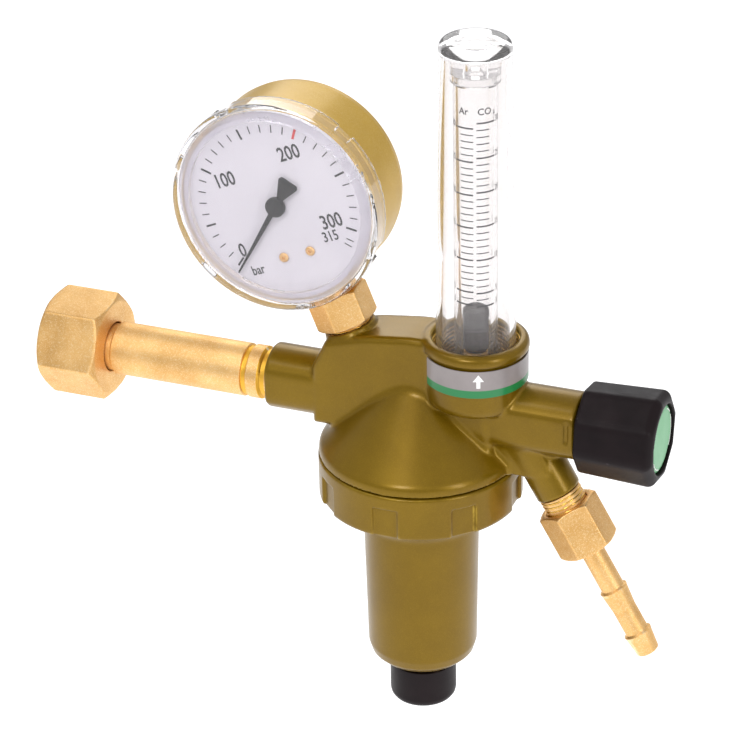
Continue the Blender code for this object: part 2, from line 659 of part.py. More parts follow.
gauge_case()
turned("gauge_window", [
    (0, 16.6), (BEZEL_RADIUS, 16.6, 1.6), (BEZEL_RADIUS, 8), (CASE_RADIUS + GAP, 8),
    (CASE_RADIUS + GAP, 14.7), (0, 14.7)], "clear_plastic", steps=32, **FACING)
gauge_socket()
DIAL_SCREWS = [on_dial(angle, 16.8) for angle in (164, 196)]
cut(rod("gauge_dial", 28.8, DIAL_FRONT - 0.6, DIAL_FRONT, "dial_white", steps=32, **FACING),
    rod("dial_hole", 1.6, 8, 14, None, steps=16, **FACING),
    *[rod(f"dial_screw_hole_{i}", 1.1, 8, 14, None, steps=12, at=(x, 0, z), **FACING)
      for i, (x, z) in enumerate(DIAL_SCREWS)])
for number, (dial_x, dial_z) in enumerate(DIAL_SCREWS, 1):
    turned(f"dial_screw_{number}", [
        (0, 12.7), (1.3, 12.6), (1.5, 12.0), (0.8, 12.0), (0.8, 8.8), (0, 8.8)], "brass",
        steps=16, at=(dial_x, 0, dial_z), **FACING)
turned("pinion_shaft", [
    (0, 13.4), (0.85, 13.4), (0.85, 4.4), (1.6, 4.4), (1.6, 2.6), (0.85, 2.6), (0.85, -2.8),
    (0, -2.8)], "spring_steel", steps=16, **FACING)
bourdon_tube()
movement_frame()
sector_gear()
gauge_link()
gauge_pointer()
SPIRAL = [((1.5 + 0.06 * i) * cos(radians(30 * i)), -6.2, (1.5 + 0.06 * i) * sin(radians(30 * i)))
          for i in range(31)]
wire("hair_spring", SPIRAL, 0.12, "spring_steel", 0, **UPRIGHT)

for piece in PART.objects:
    if piece.type == "MESH":
        piece.data.shade_smooth()
        piece.data.set_sharp_from_angle(angle=radians(35))
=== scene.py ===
# %% [markdown]
# A gas regulator for a welding cylinder, dressed in its finishes. The frame holds every solid
# part of it at its true size, in metres, with the joints that move it. This script adds what
# the eye sees: soft cast edges, threads, printed scales, clear plastic, and paint whose edges
# are brightened, partly as rubbed wear and partly as a painted highlight.

# %% Load the frame
from math import acos, atan2, cos, hypot, pi, radians, sin, tan

import bmesh
import bpy
import numpy as np
from mathutils import Matrix, Vector


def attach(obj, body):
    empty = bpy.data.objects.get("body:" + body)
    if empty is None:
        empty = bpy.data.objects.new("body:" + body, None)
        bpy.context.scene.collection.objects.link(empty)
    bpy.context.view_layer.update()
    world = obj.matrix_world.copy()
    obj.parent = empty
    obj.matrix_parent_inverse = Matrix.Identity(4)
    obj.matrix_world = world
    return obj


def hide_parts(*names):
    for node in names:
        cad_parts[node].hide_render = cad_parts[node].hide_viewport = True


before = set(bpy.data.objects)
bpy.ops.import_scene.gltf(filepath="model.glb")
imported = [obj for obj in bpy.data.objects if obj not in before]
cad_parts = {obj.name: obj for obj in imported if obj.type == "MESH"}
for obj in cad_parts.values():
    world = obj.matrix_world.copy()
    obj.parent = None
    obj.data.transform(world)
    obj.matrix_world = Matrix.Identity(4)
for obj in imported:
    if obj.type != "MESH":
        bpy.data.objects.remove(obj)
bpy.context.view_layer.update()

MM = 0.001
SCENE = bpy.context.scene

# %% [markdown]
# A product picture needs three things: a camera where a buyer's eye would be, a pale floor
# that stays out of the way, and large soft lamps. Metal and clear plastic show their shape
# only by what they reflect, so the surroundings are bright above and dimmer at the horizon.

# %% Camera
TARGET = Vector((0.0993, 0, 0.00546))
DISTANCE = 0.858
AZIMUTH, ELEVATION, ROLL = radians(21.9), radians(28.15), radians(-1.2)
LENS = 134.1


def camera_axes():
    """The camera's right, up and backward directions."""
    back = Vector((sin(AZIMUTH) * cos(ELEVATION), -cos(AZIMUTH) * cos(ELEVATION), sin(ELEVATION)))
    level = Vector((cos(AZIMUTH), sin(AZIMUTH), 0))
    upright = back.cross(level)
    right = level * cos(ROLL) + upright * sin(ROLL)
    return right, upright * cos(ROLL) - level * sin(ROLL), back


def add_camera():
    right, up, back = camera_axes()
    lens = bpy.data.cameras.new("camera")
    lens.lens = LENS
    lens.sensor_width = 36
    lens.clip_start = 0.01
    item = bpy.data.objects.new("camera", lens)
    item.matrix_world = Matrix.Translation(TARGET + back * DISTANCE) @ Matrix(
        (right, up, back)).transposed().to_4x4()
    SCENE.collection.objects.link(item)
    SCENE.camera = item
    return item


print("camera at", [round(value, 3) for value in add_camera().location])


# %% Node helper
def node(tree, kind, inputs=None, **settings):
    """Add a node; an input may be a plain value or the socket that feeds it."""
    made = tree.nodes.new(kind)
    for key, value in settings.items():
        setattr(made, key, value)
    for key, value in (inputs or {}).items():
        if isinstance(value, bpy.types.NodeSocket):
            tree.links.new(value, made.inputs[key])
        else:
            made.inputs[key].default_value = value
    return made


def colour(red, green, blue):
    """A colour given as it looks on a screen, 0 to 255, turned to linear light."""
    parts = [value / 255 for value in (red, green, blue)]
    return (*[v / 12.92 if v <= 0.04045 else ((v + 0.055) / 1.055) ** 2.4 for v in parts], 1)


# %% Studio
def studio_world():
    """Bright overhead, dimmer round the horizon, by the direction that a ray leaves in."""
    world = bpy.data.worlds.new("studio")
    world.use_nodes = True
    tree = world.node_tree
    tree.nodes.clear()
    where = node(tree, "ShaderNodeTexCoord")
    split = node(tree, "ShaderNodeSeparateXYZ", {"Vector": where.outputs["Generated"]})
    ramp = node(tree, "ShaderNodeValToRGB", {"Fac": split.outputs["Z"]})
    stops = [(0.0, 0.62), (0.2, 0.70), (0.5, 0.82), (1.0, 0.86)]
    for place, level in stops[1:-1]:
        ramp.color_ramp.elements.new(place)
    for stop, (place, level) in zip(ramp.color_ramp.elements, stops):
        stop.position = place
        stop.color = (level, level, level * 1.02, 1)
    sky = node(tree, "ShaderNodeBackground", {"Color": ramp.outputs["Color"], "Strength": 0.78})
    out = node(tree, "ShaderNodeOutputWorld", {"Surface": sky.outputs["Background"]})
    SCENE.world = world
    return out


def lamp(name, place, size, power, tint=(1, 1, 1)):
    """A rectangular soft lamp that faces the object."""
    light = bpy.data.lights.new(name, "AREA")
    light.shape = "RECTANGLE"
    light.size, light.size_y = size
    light.energy = power
    light.color = tint
    item = bpy.data.objects.new(name, light)
    item.location = place
    item.rotation_euler = (Vector(place) - TARGET).to_track_quat("Z", "Y").to_euler()
    SCENE.collection.objects.link(item)
    return item


SCENE.view_settings.view_transform = "Standard"
studio_world()
LAMPS = [
    lamp("key", (0.05, -0.95, 0.85), (0.3, 0.4), 4.0),
    lamp("side", (0.95, -0.45, 0.35), (0.2, 0.7), 2.6),
    lamp("top", (-0.3, -0.3, 1.0), (0.4, 0.3), 1.2),
    lamp("back", (-0.2, 0.9, 0.5), (0.6, 0.5), 2.0)]
print("lamps:", len(LAMPS))

# %% Floor
FLOOR_Z = -0.36


def add_floor():
    mesh = bpy.data.meshes.new("floor")
    half = 4.0
    corners = [(-half, -half), (half, -half), (half, half), (-half, half)]
    mesh.from_pydata([(x, y, FLOOR_Z) for x, y in corners], [], [(0, 1, 2, 3)])
    item = bpy.data.objects.new("floor", mesh)
    SCENE.collection.objects.link(item)
    paper = bpy.data.materials.new("floor_paper")
    paper.use_nodes = True
    tree = paper.node_tree
    skin = tree.nodes["Principled BSDF"]
    where = node(tree, "ShaderNodeTexCoord")
    cloud = node(tree, "ShaderNodeTexNoise", {"Vector": where.outputs["Object"], "Scale": 3.0})
    tone = node(tree, "ShaderNodeMix", {
        "Factor": cloud.outputs["Fac"], "A": (0.93, 0.93, 0.93, 1), "B": (0.95, 0.95, 0.95, 1)},
        data_type="RGBA")
    tree.links.new(tone.outputs["Result"], skin.inputs["Base Color"])
    skin.inputs["Roughness"].default_value = 0.9
    skin.inputs["Specular IOR Level"].default_value = 0.1
    skin.inputs["Emission Color"].default_value = (1, 1, 1, 1)
    skin.inputs["Emission Strength"].default_value = 0.45
    mesh.materials.append(paper)
    return item


print("floor at", add_floor().data.vertices[0].co.z)

# %% [markdown]
# Real finishes are never one flat colour. Three effects turn up on nearly every piece, so each
# is a node group that any material can use: a mottled, grainy skin with a little flake in it,
# bright edges, which are partly edges rubbed by handling and partly a painted highlight where
# glossy fillets catch the lamps, and smudges that make the gloss uneven. The groups hand out
# only masks and heights, and each material says what to do with them.


# %% Effect groups
def effect_group(name, inputs, outputs):
    tree = bpy.data.node_groups.new(name, "ShaderNodeTree")
    for title, value in inputs.items():
        kind = "NodeSocketVector" if value is None else "NodeSocketFloat"
        socket = tree.interface.new_socket(title, in_out="INPUT", socket_type=kind)
        if value is not None:
            socket.default_value = value
    for title in outputs:
        tree.interface.new_socket(title, in_out="OUTPUT", socket_type="NodeSocketFloat")
    return tree, tree.nodes.new("NodeGroupInput"), tree.nodes.new("NodeGroupOutput")


def between(tree, value, low, high, floor=0.0, ceiling=1.0):
    """Stretch the part of a value from low to high over floor to ceiling."""
    return node(tree, "ShaderNodeMapRange", {
        "Value": value, "From Min": low, "From Max": high, "To Min": floor,
        "To Max": ceiling}).outputs["Result"]


def multiply(tree, first, second):
    return node(tree, "ShaderNodeMath", {0: first, 1: second}, operation="MULTIPLY").outputs[0]


def make_skin_group():
    tree, given, out = effect_group(
        "mottled_skin", {"Vector": None, "Patch Scale": 60.0, "Grain Scale": 1500.0,
                         "Flake Scale": 2200.0}, ["Tone", "Grain", "Flake"])
    patch = node(tree, "ShaderNodeTexNoise", {
        "Vector": given.outputs["Vector"], "Scale": given.outputs["Patch Scale"], "Detail": 4.0,
        "Roughness": 0.6})
    grain = node(tree, "ShaderNodeTexNoise", {
        "Vector": given.outputs["Vector"], "Scale": given.outputs["Grain Scale"],
        "Detail": 3.0, "Roughness": 0.65})
    flake = node(tree, "ShaderNodeTexVoronoi", {
        "Vector": given.outputs["Vector"], "Scale": given.outputs["Flake Scale"]})
    spark = node(tree, "ShaderNodeSeparateColor", {"Color": flake.outputs["Color"]})
    tree.links.new(between(tree, patch.outputs["Fac"], 0.32, 0.68), out.inputs["Tone"])
    tree.links.new(grain.outputs["Fac"], out.inputs["Grain"])
    tree.links.new(between(tree, spark.outputs["Red"], 0.62, 1.0), out.inputs["Flake"])
    return tree


def make_edge_group():
    tree, given, out = effect_group(
        "rubbed_and_highlit_edges", {"Vector": None, "Reach": 0.52, "Scale": 260.0}, ["Mask"])
    # The mask lightens sharp edges by the mesh's pointiness. It is partly rubbed wear and partly a
    # painted highlight where fillets and rims catch the lamps.
    shape = node(tree, "ShaderNodeNewGeometry")
    limit = node(tree, "ShaderNodeMath", {0: given.outputs["Reach"], 1: 0.06}, operation="ADD")
    edge = between(tree, shape.outputs["Pointiness"], given.outputs["Reach"], limit.outputs[0])
    patch = node(tree, "ShaderNodeTexNoise", {
        "Vector": given.outputs["Vector"], "Scale": given.outputs["Scale"], "Detail": 3.0})
    broken = between(tree, patch.outputs["Fac"], 0.38, 0.6)
    tree.links.new(multiply(tree, edge, broken), out.inputs["Mask"])
    return tree


def make_smudge_group():
    tree, given, out = effect_group("smudges", {"Vector": None, "Scale": 90.0}, ["Mask"])
    patch = node(tree, "ShaderNodeTexNoise", {
        "Vector": given.outputs["Vector"], "Scale": given.outputs["Scale"], "Detail": 5.0,
        "Roughness": 0.55, "Distortion": 0.6})
    tree.links.new(between(tree, patch.outputs["Fac"], 0.35, 0.65), out.inputs["Mask"])
    return tree


SKIN, WEAR_AND_HIGHLIGHT_EDGES, SMUDGES = make_skin_group(), make_edge_group(), make_smudge_group()
print("effect groups:", [group.name for group in (SKIN, WEAR_AND_HIGHLIGHT_EDGES, SMUDGES)])


# %% Finish builder
def effect(tree, group, where, **values):
    """Place an effect group in a material with its own values."""
    made = node(tree, "ShaderNodeGroup", node_tree=group)
    tree.links.new(where, made.inputs["Vector"])
    for title, value in values.items():
        made.inputs[title.replace("_", " ")].default_value = value
    return made


def blend_colours(tree, factor, first, second):
    return node(tree, "ShaderNodeMix", {"Factor": factor, "A": first, "B": second},
                data_type="RGBA").outputs["Result"]


def finish(name, dark, light, rough, metallic=0.0, patch=60.0, grain=1500.0, bump=0.01,
           flake=None, flake_share=0.5, edge=None, reach=0.52, sheen_coat=0.0, specular=0.5,
           marks=None, flake_scale=2200):
    """An opaque finish: mottled colour, uneven gloss, fine grain and bright edges, which are partly
    rubbed wear and partly a painted highlight.

    rough is (smoothest, roughest), bump is the grain's depth in millimetres, edge is the
    colour of the bright edges (rubbed wear and painted highlight), and marks adds colour after
    the mottling."""
    material = bpy.data.materials.new(name)
    material.use_nodes = True
    tree = material.node_tree
    skin = tree.nodes["Principled BSDF"]
    where = node(tree, "ShaderNodeTexCoord").outputs["Object"]
    mottled = effect(tree, SKIN, where, Patch_Scale=patch, Grain_Scale=grain,
                     Flake_Scale=flake_scale)
    base = blend_colours(tree, mottled.outputs["Tone"], dark, light)
    if flake:
        share = multiply(tree, mottled.outputs["Flake"], flake_share)
        base = blend_colours(tree, share, base, flake)
    if marks:
        base = marks(tree, where, base)
    # Edges shift towards the edge colour. This is partly rubbed wear and partly a painted highlight
    # along fillets and rims.
    if edge:
        wear_and_painted_highlight = effect(tree, WEAR_AND_HIGHLIGHT_EDGES, where, Reach=reach)
        base = blend_colours(tree, wear_and_painted_highlight.outputs["Mask"], base, edge)
    smudge = effect(tree, SMUDGES, where, Scale=patch * 1.3)
    gloss = between(tree, smudge.outputs["Mask"], 0.0, 1.0, *rough)
    relief = node(tree, "ShaderNodeBump", {
        "Height": mottled.outputs["Grain"], "Distance": bump * MM, "Strength": 1.0})
    tree.links.new(base, skin.inputs["Base Color"])
    tree.links.new(gloss, skin.inputs["Roughness"])
    tree.links.new(relief.outputs["Normal"], skin.inputs["Normal"])
    skin.inputs["Metallic"].default_value = metallic
    skin.inputs["Coat Weight"].default_value = sheen_coat
    skin.inputs["Coat Roughness"].default_value = 0.18
    skin.inputs["Specular IOR Level"].default_value = specular
    return material


def clear_finish(name, dark, light, rough, index=1.49, haze=0.0):
    """Clear moulded plastic. Rays from lamps pass straight through, so what it covers is lit."""
    material = bpy.data.materials.new(name)
    material.use_nodes = True
    tree = material.node_tree
    skin = tree.nodes["Principled BSDF"]
    where = node(tree, "ShaderNodeTexCoord").outputs["Object"]
    mottled = effect(tree, SKIN, where, Patch_Scale=40.0, Grain_Scale=300.0)
    smudge = effect(tree, SMUDGES, where, Scale=70.0)
    tree.links.new(blend_colours(tree, mottled.outputs["Tone"], dark, light),
                   skin.inputs["Base Color"])
    tree.links.new(between(tree, smudge.outputs["Mask"], 0.0, 1.0, *rough),
                   skin.inputs["Roughness"])
    skin.inputs["IOR"].default_value = index
    skin.inputs["Transmission Weight"].default_value = 1.0 - haze
    ray = node(tree, "ShaderNodeLightPath")
    through = node(tree, "ShaderNodeBsdfTransparent", {"Color": (0.93, 0.93, 0.93, 1)})
    both = node(tree, "ShaderNodeMixShader", {
        "Fac": ray.outputs["Is Shadow Ray"], 1: skin.outputs["BSDF"],
        2: through.outputs["BSDF"]})
    tree.links.new(both.outputs["Shader"], tree.nodes["Material Output"].inputs["Surface"])
    return material


# %% [markdown]
# The palette. The casting is sprayed in an olive gold paint with fine metal flake, and the
# fittings are tumbled brass. The gauge's case is satin gold, its window and the flow tube are
# clear plastic, and the knob and the bottom cap are moulded in black with a pale green insert.

# %% Finishes
LABEL_STRIPE_TOP = 14.3


def label_stripe(tree, where, base):
    """A green line round the foot of the label, by height."""
    height = node(tree, "ShaderNodeSeparateXYZ", {"Vector": where}).outputs["Z"]
    soft = 0.12
    mask = between(tree, height, (LABEL_STRIPE_TOP - soft) * MM, (LABEL_STRIPE_TOP + soft) * MM,
                   1.0, 0.0)
    return blend_colours(tree, mask, base, colour(8, 124, 64))


BRIGHT_GROOVES = ((57.2, 59.0), (62.7, 65.0))


def bright_grooves(tree, where, base):
    """Grooves cut after tumbling stay a deeper, cleaner yellow."""
    along = node(tree, "ShaderNodeSeparateXYZ", {"Vector": where}).outputs["X"]
    for start, stop in BRIGHT_GROOVES:
        inside = node(tree, "ShaderNodeMath", {
            0: along, 1: (start + stop) / 2 * MM, 2: (stop - start) / 2 * MM},
            operation="COMPARE")
        base = blend_colours(tree, inside.outputs[0], base, colour(236, 184, 72))
    return base


FINISH = {
    "olive_paint": finish(
        "olive_paint", colour(114, 87, 0), colour(126, 98, 5), (0.3, 0.38), 0.5, patch=40,
        grain=1500, bump=0.008, flake=colour(184, 150, 44), flake_share=0.14,
        # edge colour: a lighter olive along edges and fillets, a painted highlight where the gloss
        # paint catches the lamps
        edge=colour(170, 140, 44), reach=0.53, sheen_coat=0.25, specular=0.2,
        flake_scale=7000),
    "brass": finish(
        "brass", colour(220, 170, 100), colour(244, 200, 132), (0.42, 0.54), 1.0, patch=60,
        grain=1900, bump=0.05, flake=colour(254, 230, 186), flake_share=0.6,
        edge=colour(255, 236, 196), reach=0.53, flake_scale=4500),
    "stem_brass": finish(
        "stem_brass", colour(220, 170, 100), colour(244, 200, 132), (0.42, 0.54), 1.0, patch=60,
        grain=1900, bump=0.05, flake=colour(254, 230, 186), flake_share=0.6,
        edge=colour(255, 236, 196), reach=0.53, flake_scale=4500, marks=bright_grooves),
    "thread_brass": finish(
        "thread_brass", colour(222, 172, 76), colour(246, 204, 110), (0.2, 0.3), 1.0,
        patch=200, grain=2500, bump=0.006),
    "gold_paint": finish(
        "gold_paint", colour(188, 150, 54), colour(198, 160, 64), (0.38, 0.48), 0.35, specular=0.25,
        patch=40, grain=2000, bump=0.008, flake=colour(244, 224, 160), flake_share=0.25,
        edge=colour(246, 230, 180), reach=0.54, sheen_coat=0.2, flake_scale=8000),
    "black_plastic": finish(
        "black_plastic", colour(19, 12, 14), colour(29, 20, 22), (0.36, 0.5), patch=70,
        grain=1700, bump=0.012, edge=colour(60, 52, 56), reach=0.56, specular=0.14),
    "green_plastic": finish(
        "green_plastic", colour(92, 166, 112), colour(108, 180, 126), (0.34, 0.46), patch=50,
        grain=1500, bump=0.006, sheen_coat=0.1),
    "dial_white": finish(
        "dial_white", colour(212, 208, 214), colour(218, 214, 219), (0.5, 0.62), patch=50,
        grain=1800, bump=0.002, specular=0.3),
    "pointer_black": finish(
        "pointer_black", colour(8, 5, 6), colour(16, 11, 12), (0.4, 0.52), patch=120, specular=0.2,
        grain=1600, bump=0.004),
    "print_black": finish(
        "print_black", colour(18, 16, 20), colour(34, 31, 36), (0.5, 0.62), patch=300,
        grain=2200, bump=0.001),
    "print_red": finish(
        "print_red", colour(190, 30, 34), colour(214, 48, 46), (0.45, 0.6), patch=300,
        grain=2200, bump=0.001),
    "print_white": finish(
        "print_white", colour(236, 236, 232), colour(248, 248, 246), (0.4, 0.55), patch=300,
        grain=2200, bump=0.001),
    "float_grey": finish(
        "float_grey", colour(18, 9, 12), colour(30, 18, 22), (0.45, 0.6), patch=160, specular=0.2,
        grain=1800, bump=0.008),
    "spring_steel": finish(
        "spring_steel", colour(168, 168, 172), colour(206, 206, 208), (0.24, 0.36), 1.0,
        patch=150, grain=2000, bump=0.006),
    "rubber": finish(
        "rubber", colour(20, 20, 21), colour(34, 33, 34), (0.55, 0.7), patch=140, grain=1500,
        bump=0.01),
    "seal_fibre": finish(
        "seal_fibre", colour(104, 50, 36), colour(150, 82, 58), (0.7, 0.85), patch=300,
        grain=1800, bump=0.03, flake=colour(190, 130, 96), flake_share=0.3),
    "sintered_bronze": finish(
        "sintered_bronze", colour(104, 80, 46), colour(168, 134, 84), (0.5, 0.7), 0.8,
        patch=900, grain=1400, bump=0.12),
    "printed_label": finish(
        "printed_label", colour(136, 128, 127), colour(150, 142, 141), (0.32, 0.44), patch=80,
        grain=1500, bump=0.004, marks=label_stripe, sheen_coat=0.3),
    "clear_plastic": clear_finish(
        "clear_plastic", (0.975, 0.97, 0.97, 1), (0.995, 0.99, 0.99, 1), (0.0, 0.025)),
    "cover_plastic": clear_finish(
        "cover_plastic", (0.925, 0.905, 0.90, 1), (0.945, 0.93, 0.925, 1), (0.02, 0.05), 1.3,
        haze=0.035),
    "frosted_rim": clear_finish(
        "frosted_rim", (0.80, 0.78, 0.83, 1), (0.86, 0.84, 0.88, 1), (0.25, 0.4), 1.45,
        haze=0.15),
    "clear_window": clear_finish(
        "clear_window", (0.945, 0.935, 0.955, 1), (0.965, 0.955, 0.975, 1), (0.0, 0.02), 1.45,
        haze=0.015),
}
print("finishes:", len(FINISH))

# %% [markdown]
# Each piece is drawn where it sits, in millimetres, in the local axes of what it belongs to:
# the arm, the bonnet, the flow tube, the outlet or the gauge. One helper then moves it into
# the frame, gives it its finish, and hangs it on the body that carries it.


# %% Local axes
def axes(right, up, out, origin=(0, 0, 0)):
    """A 4 by 4 placing matrix, in millimetres, from three directions and an origin."""
    place = np.eye(4)
    place[:3, 0], place[:3, 1], place[:3, 2], place[:3, 3] = right, up, out, origin
    return place


LEAN = radians(-22)
GAUGE_CENTRE = (74.1061, 0, 64.2994)
GAUGE_RIGHT = (cos(LEAN), 0, -sin(LEAN))
GAUGE_UP = (sin(LEAN), 0, cos(LEAN))
OUTLET_DOWN = (0.5, 0, -cos(radians(30)))
ARM = axes((0, 0, -1), (0, 1, 0), (1, 0, 0))
BONNET = axes((1, 0, 0), (0, 1, 0), (0, 0, 1), (114, 0, 0))
TUBE = axes((1, 0, 0), (0, 1, 0), (0, 0, 1), (132.2, 0, 0))
OUTLET = axes((-cos(radians(30)), 0, -0.5), (0, 1, 0), OUTLET_DOWN, (158.9, 0, -23.9))
DIAL = axes(GAUGE_RIGHT, GAUGE_UP, (0, -1, 0), GAUGE_CENTRE)
STALK = axes(GAUGE_RIGHT, (0, 1, 0), GAUGE_UP, GAUGE_CENTRE)


def moved(points, place):
    return np.asarray(points, float) @ place[:3, :3].T + place[:3, 3]


# %% Piece helper
def dress(item, look, body, nodes):
    """Give a finished piece its material, its body and the nodes it stands for."""
    item.data.materials.clear()
    item.data.materials.append(FINISH[look])
    SCENE.collection.objects.link(item)
    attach(item, body)
    if nodes:
        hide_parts(*nodes)
    return item


def piece(name, points, faces, look, body="regulator", nodes=(), crease=None):
    """Make a mesh piece from points in millimetres in the frame's own axes."""
    mesh = bpy.data.meshes.new(name)
    mesh.from_pydata(np.asarray(points, float) * MM, [], faces)
    shape = bmesh.new()
    shape.from_mesh(mesh)
    bmesh.ops.remove_doubles(shape, verts=shape.verts, dist=1e-7)
    bmesh.ops.recalc_face_normals(shape, faces=shape.faces)
    if shape.calc_volume(signed=True) < 0:
        bmesh.ops.reverse_faces(shape, faces=shape.faces)
    shape.to_mesh(mesh)
    open_edges = sum(1 for edge in shape.edges if len(edge.link_faces) != 2)
    shape.free()
    mesh.shade_smooth()
    if crease:
        mesh.set_sharp_from_angle(angle=radians(crease))
    item = bpy.data.objects.new(name, mesh)
    dress(item, look, body, nodes)
    print(f"{name}: {len(mesh.polygons)} faces, {open_edges} odd edges")
    return item


# %% [markdown]
# A turned piece is a profile swept round an axis, as on a lathe. Corners on real machined
# parts are never knife sharp, so every corner of a profile gets a small round, and the
# straight runs get a support line near each end to keep the flats looking flat.


# %% Outlines
def outline(corners, closed=True, soft=0.0, steps=4):
    """An outline from (u, v) or (u, v, radius) corners; plain corners get the soft radius."""
    result, count = [], len(corners)
    for index, corner in enumerate(corners):
        middle = np.array(corner[:2], float)
        if not closed and index in (0, count - 1):
            result.append(middle)
            continue
        back = np.array(corners[index - 1][:2], float) - middle
        ahead = np.array(corners[(index + 1) % count][:2], float) - middle
        shorter = min(hypot(*back), hypot(*ahead))
        back, ahead = back / hypot(*back), ahead / hypot(*ahead)
        half = acos(max(-1.0, min(1.0, float(back @ ahead)))) / 2
        if len(corner) == 3:
            reach = corner[2] / tan(half)
        else:
            reach = min(soft / tan(half), 0.3 * shorter)
        if reach < 0.004:
            result.append(middle)
            continue
        bisector = (back + ahead) / hypot(*(back + ahead))
        centre = middle + bisector * reach / cos(half)
        first, last = middle + back * reach - centre, middle + ahead * reach - centre
        start = atan2(first[1], first[0])
        sweep = (atan2(last[1], last[0]) - start + pi) % (2 * pi) - pi
        radius = hypot(*first)
        for step in range(steps + 1):
            angle = start + sweep * step / steps
            result.append(centre + radius * np.array((cos(angle), sin(angle))))
    return result


def supported(points, closed, inset=0.18, longest=1.2):
    """Add a point near each end of the long straight runs of an outline.

    Beside the axis it stands well clear, because a tiny ring has no clean edges.
    """
    result = []
    for index, point in enumerate(points):
        result.append(point)
        if not closed and index == len(points) - 1:
            break
        run = points[(index + 1) % len(points)] - point
        length = hypot(*run)
        if length > longest:
            near, far = (0.3 if end[0] < 1e-6 else inset / length for end in (point, point + run))
            result += [point + run * near, point + run * (1 - far)]
    return result


# %% Turned pieces
def turned(name, corners, look, place, body="regulator", nodes=None, closed=False, soft=0.22,
           steps=96):
    """Sweep (radius, height) corners round the local third axis."""
    profile = supported(outline(corners, closed, soft), closed)
    points, rings, faces = [], [], []
    for radius, height in profile:
        if radius < 1e-6:
            rings.append([len(points)] * steps)
            points.append((0, 0, height))
            continue
        rings.append(list(range(len(points), len(points) + steps)))
        points += [(radius * cos(2 * pi * s / steps), radius * sin(2 * pi * s / steps), height)
                   for s in range(steps)]
    pairs = list(zip(rings, rings[1:]))
    if closed:
        pairs.append((rings[-1], rings[0]))
    for first, second in pairs:
        for step in range(steps):
            after = (step + 1) % steps
            corner = [first[step], first[after], second[after], second[step]]
            face = list(dict.fromkeys(corner))
            if len(face) > 2:
                faces.append(face)
    nodes = (name,) if nodes is None else nodes
    return piece(name if not nodes else name + "_fine", moved(points, place), faces, look, body,
                 nodes)


# %% [markdown]
# Cast and milled pieces blend into each other with fillets, which are hard to bevel after the
# event. They are described instead by a distance: a formula that is negative inside the metal
# and positive outside. Two such formulas join with a fillet of any radius. A net of small
# squares is then laid over the places where the distance is zero, and pulled onto it exactly.


# %% Distance shapes
def joined(first, second, radius):
    """Metal of both shapes, with a fillet of that radius where they meet."""
    a, b = np.maximum(radius - first, 0), np.maximum(radius - second, 0)
    return np.maximum(radius, np.minimum(first, second)) - np.sqrt(a * a + b * b)


def common(first, second, radius):
    """Metal that is in both shapes, with the outer edge rounded."""
    a, b = np.maximum(radius + first, 0), np.maximum(radius + second, 0)
    return np.minimum(-radius, np.maximum(first, second)) + np.sqrt(a * a + b * b)


def without(first, second, radius):
    """The first shape with the second cut out of it."""
    return common(first, -second, radius)


def flat_shape(u, v, corners):
    """Distance from a closed outline of straight edges, negative inside it."""
    nearest, inside = None, None
    for (ax, ay), (bx, by) in zip(corners, corners[1:] + corners[:1]):
        ex, ey = bx - ax, by - ay
        wx, wy = u - ax, v - ay
        along = np.clip((wx * ex + wy * ey) / (ex * ex + ey * ey), 0, 1)
        reach = (wx - ex * along) ** 2 + (wy - ey * along) ** 2
        above, below, left = v >= ay, v < by, ex * wy > ey * wx
        crossed = (above & below & left) | ~(above | below | left)
        nearest = reach if nearest is None else np.minimum(nearest, reach)
        inside = crossed if inside is None else inside ^ crossed
    return np.sqrt(nearest) * np.where(inside, -1, 1)


def bar(across, along, radius, low, high, edge):
    """A round bar from its distance off the axis and its place along it."""
    return common(across - radius, np.abs(along - (low + high) / 2) - (high - low) / 2, edge)


def flatted(p, q, along, radius, flat, low, high, edge):
    """A round bar with two flats, at plus and minus flat along q."""
    section = common(np.hypot(p, q) - radius, np.abs(q) - flat, edge)
    return common(section, np.abs(along - (low + high) / 2) - (high - low) / 2, edge)


# %% Net over a distance shape
def crossings(values, cells):
    """Where the surface passes through each cell, averaged over the cell's edges."""
    total, count = np.zeros((len(cells), 3)), np.zeros(len(cells))
    corner = {(a, b, c): values[cells[:, 0] + a, cells[:, 1] + b, cells[:, 2] + c]
              for a in (0, 1) for b in (0, 1) for c in (0, 1)}
    for axis in range(3):
        for one in (0, 1):
            for two in (0, 1):
                low = [one, two]
                low.insert(axis, 0)
                high = list(low)
                high[axis] = 1
                start, end = corner[tuple(low)], corner[tuple(high)]
                hit = (start < 0) != (end < 0)
                share = np.where(hit, start / np.where(hit, start - end, 1), 0)
                for k in range(3):
                    total[:, k] += hit * (share if k == axis else low[k])
                count += hit
    return cells + total / count[:, None]


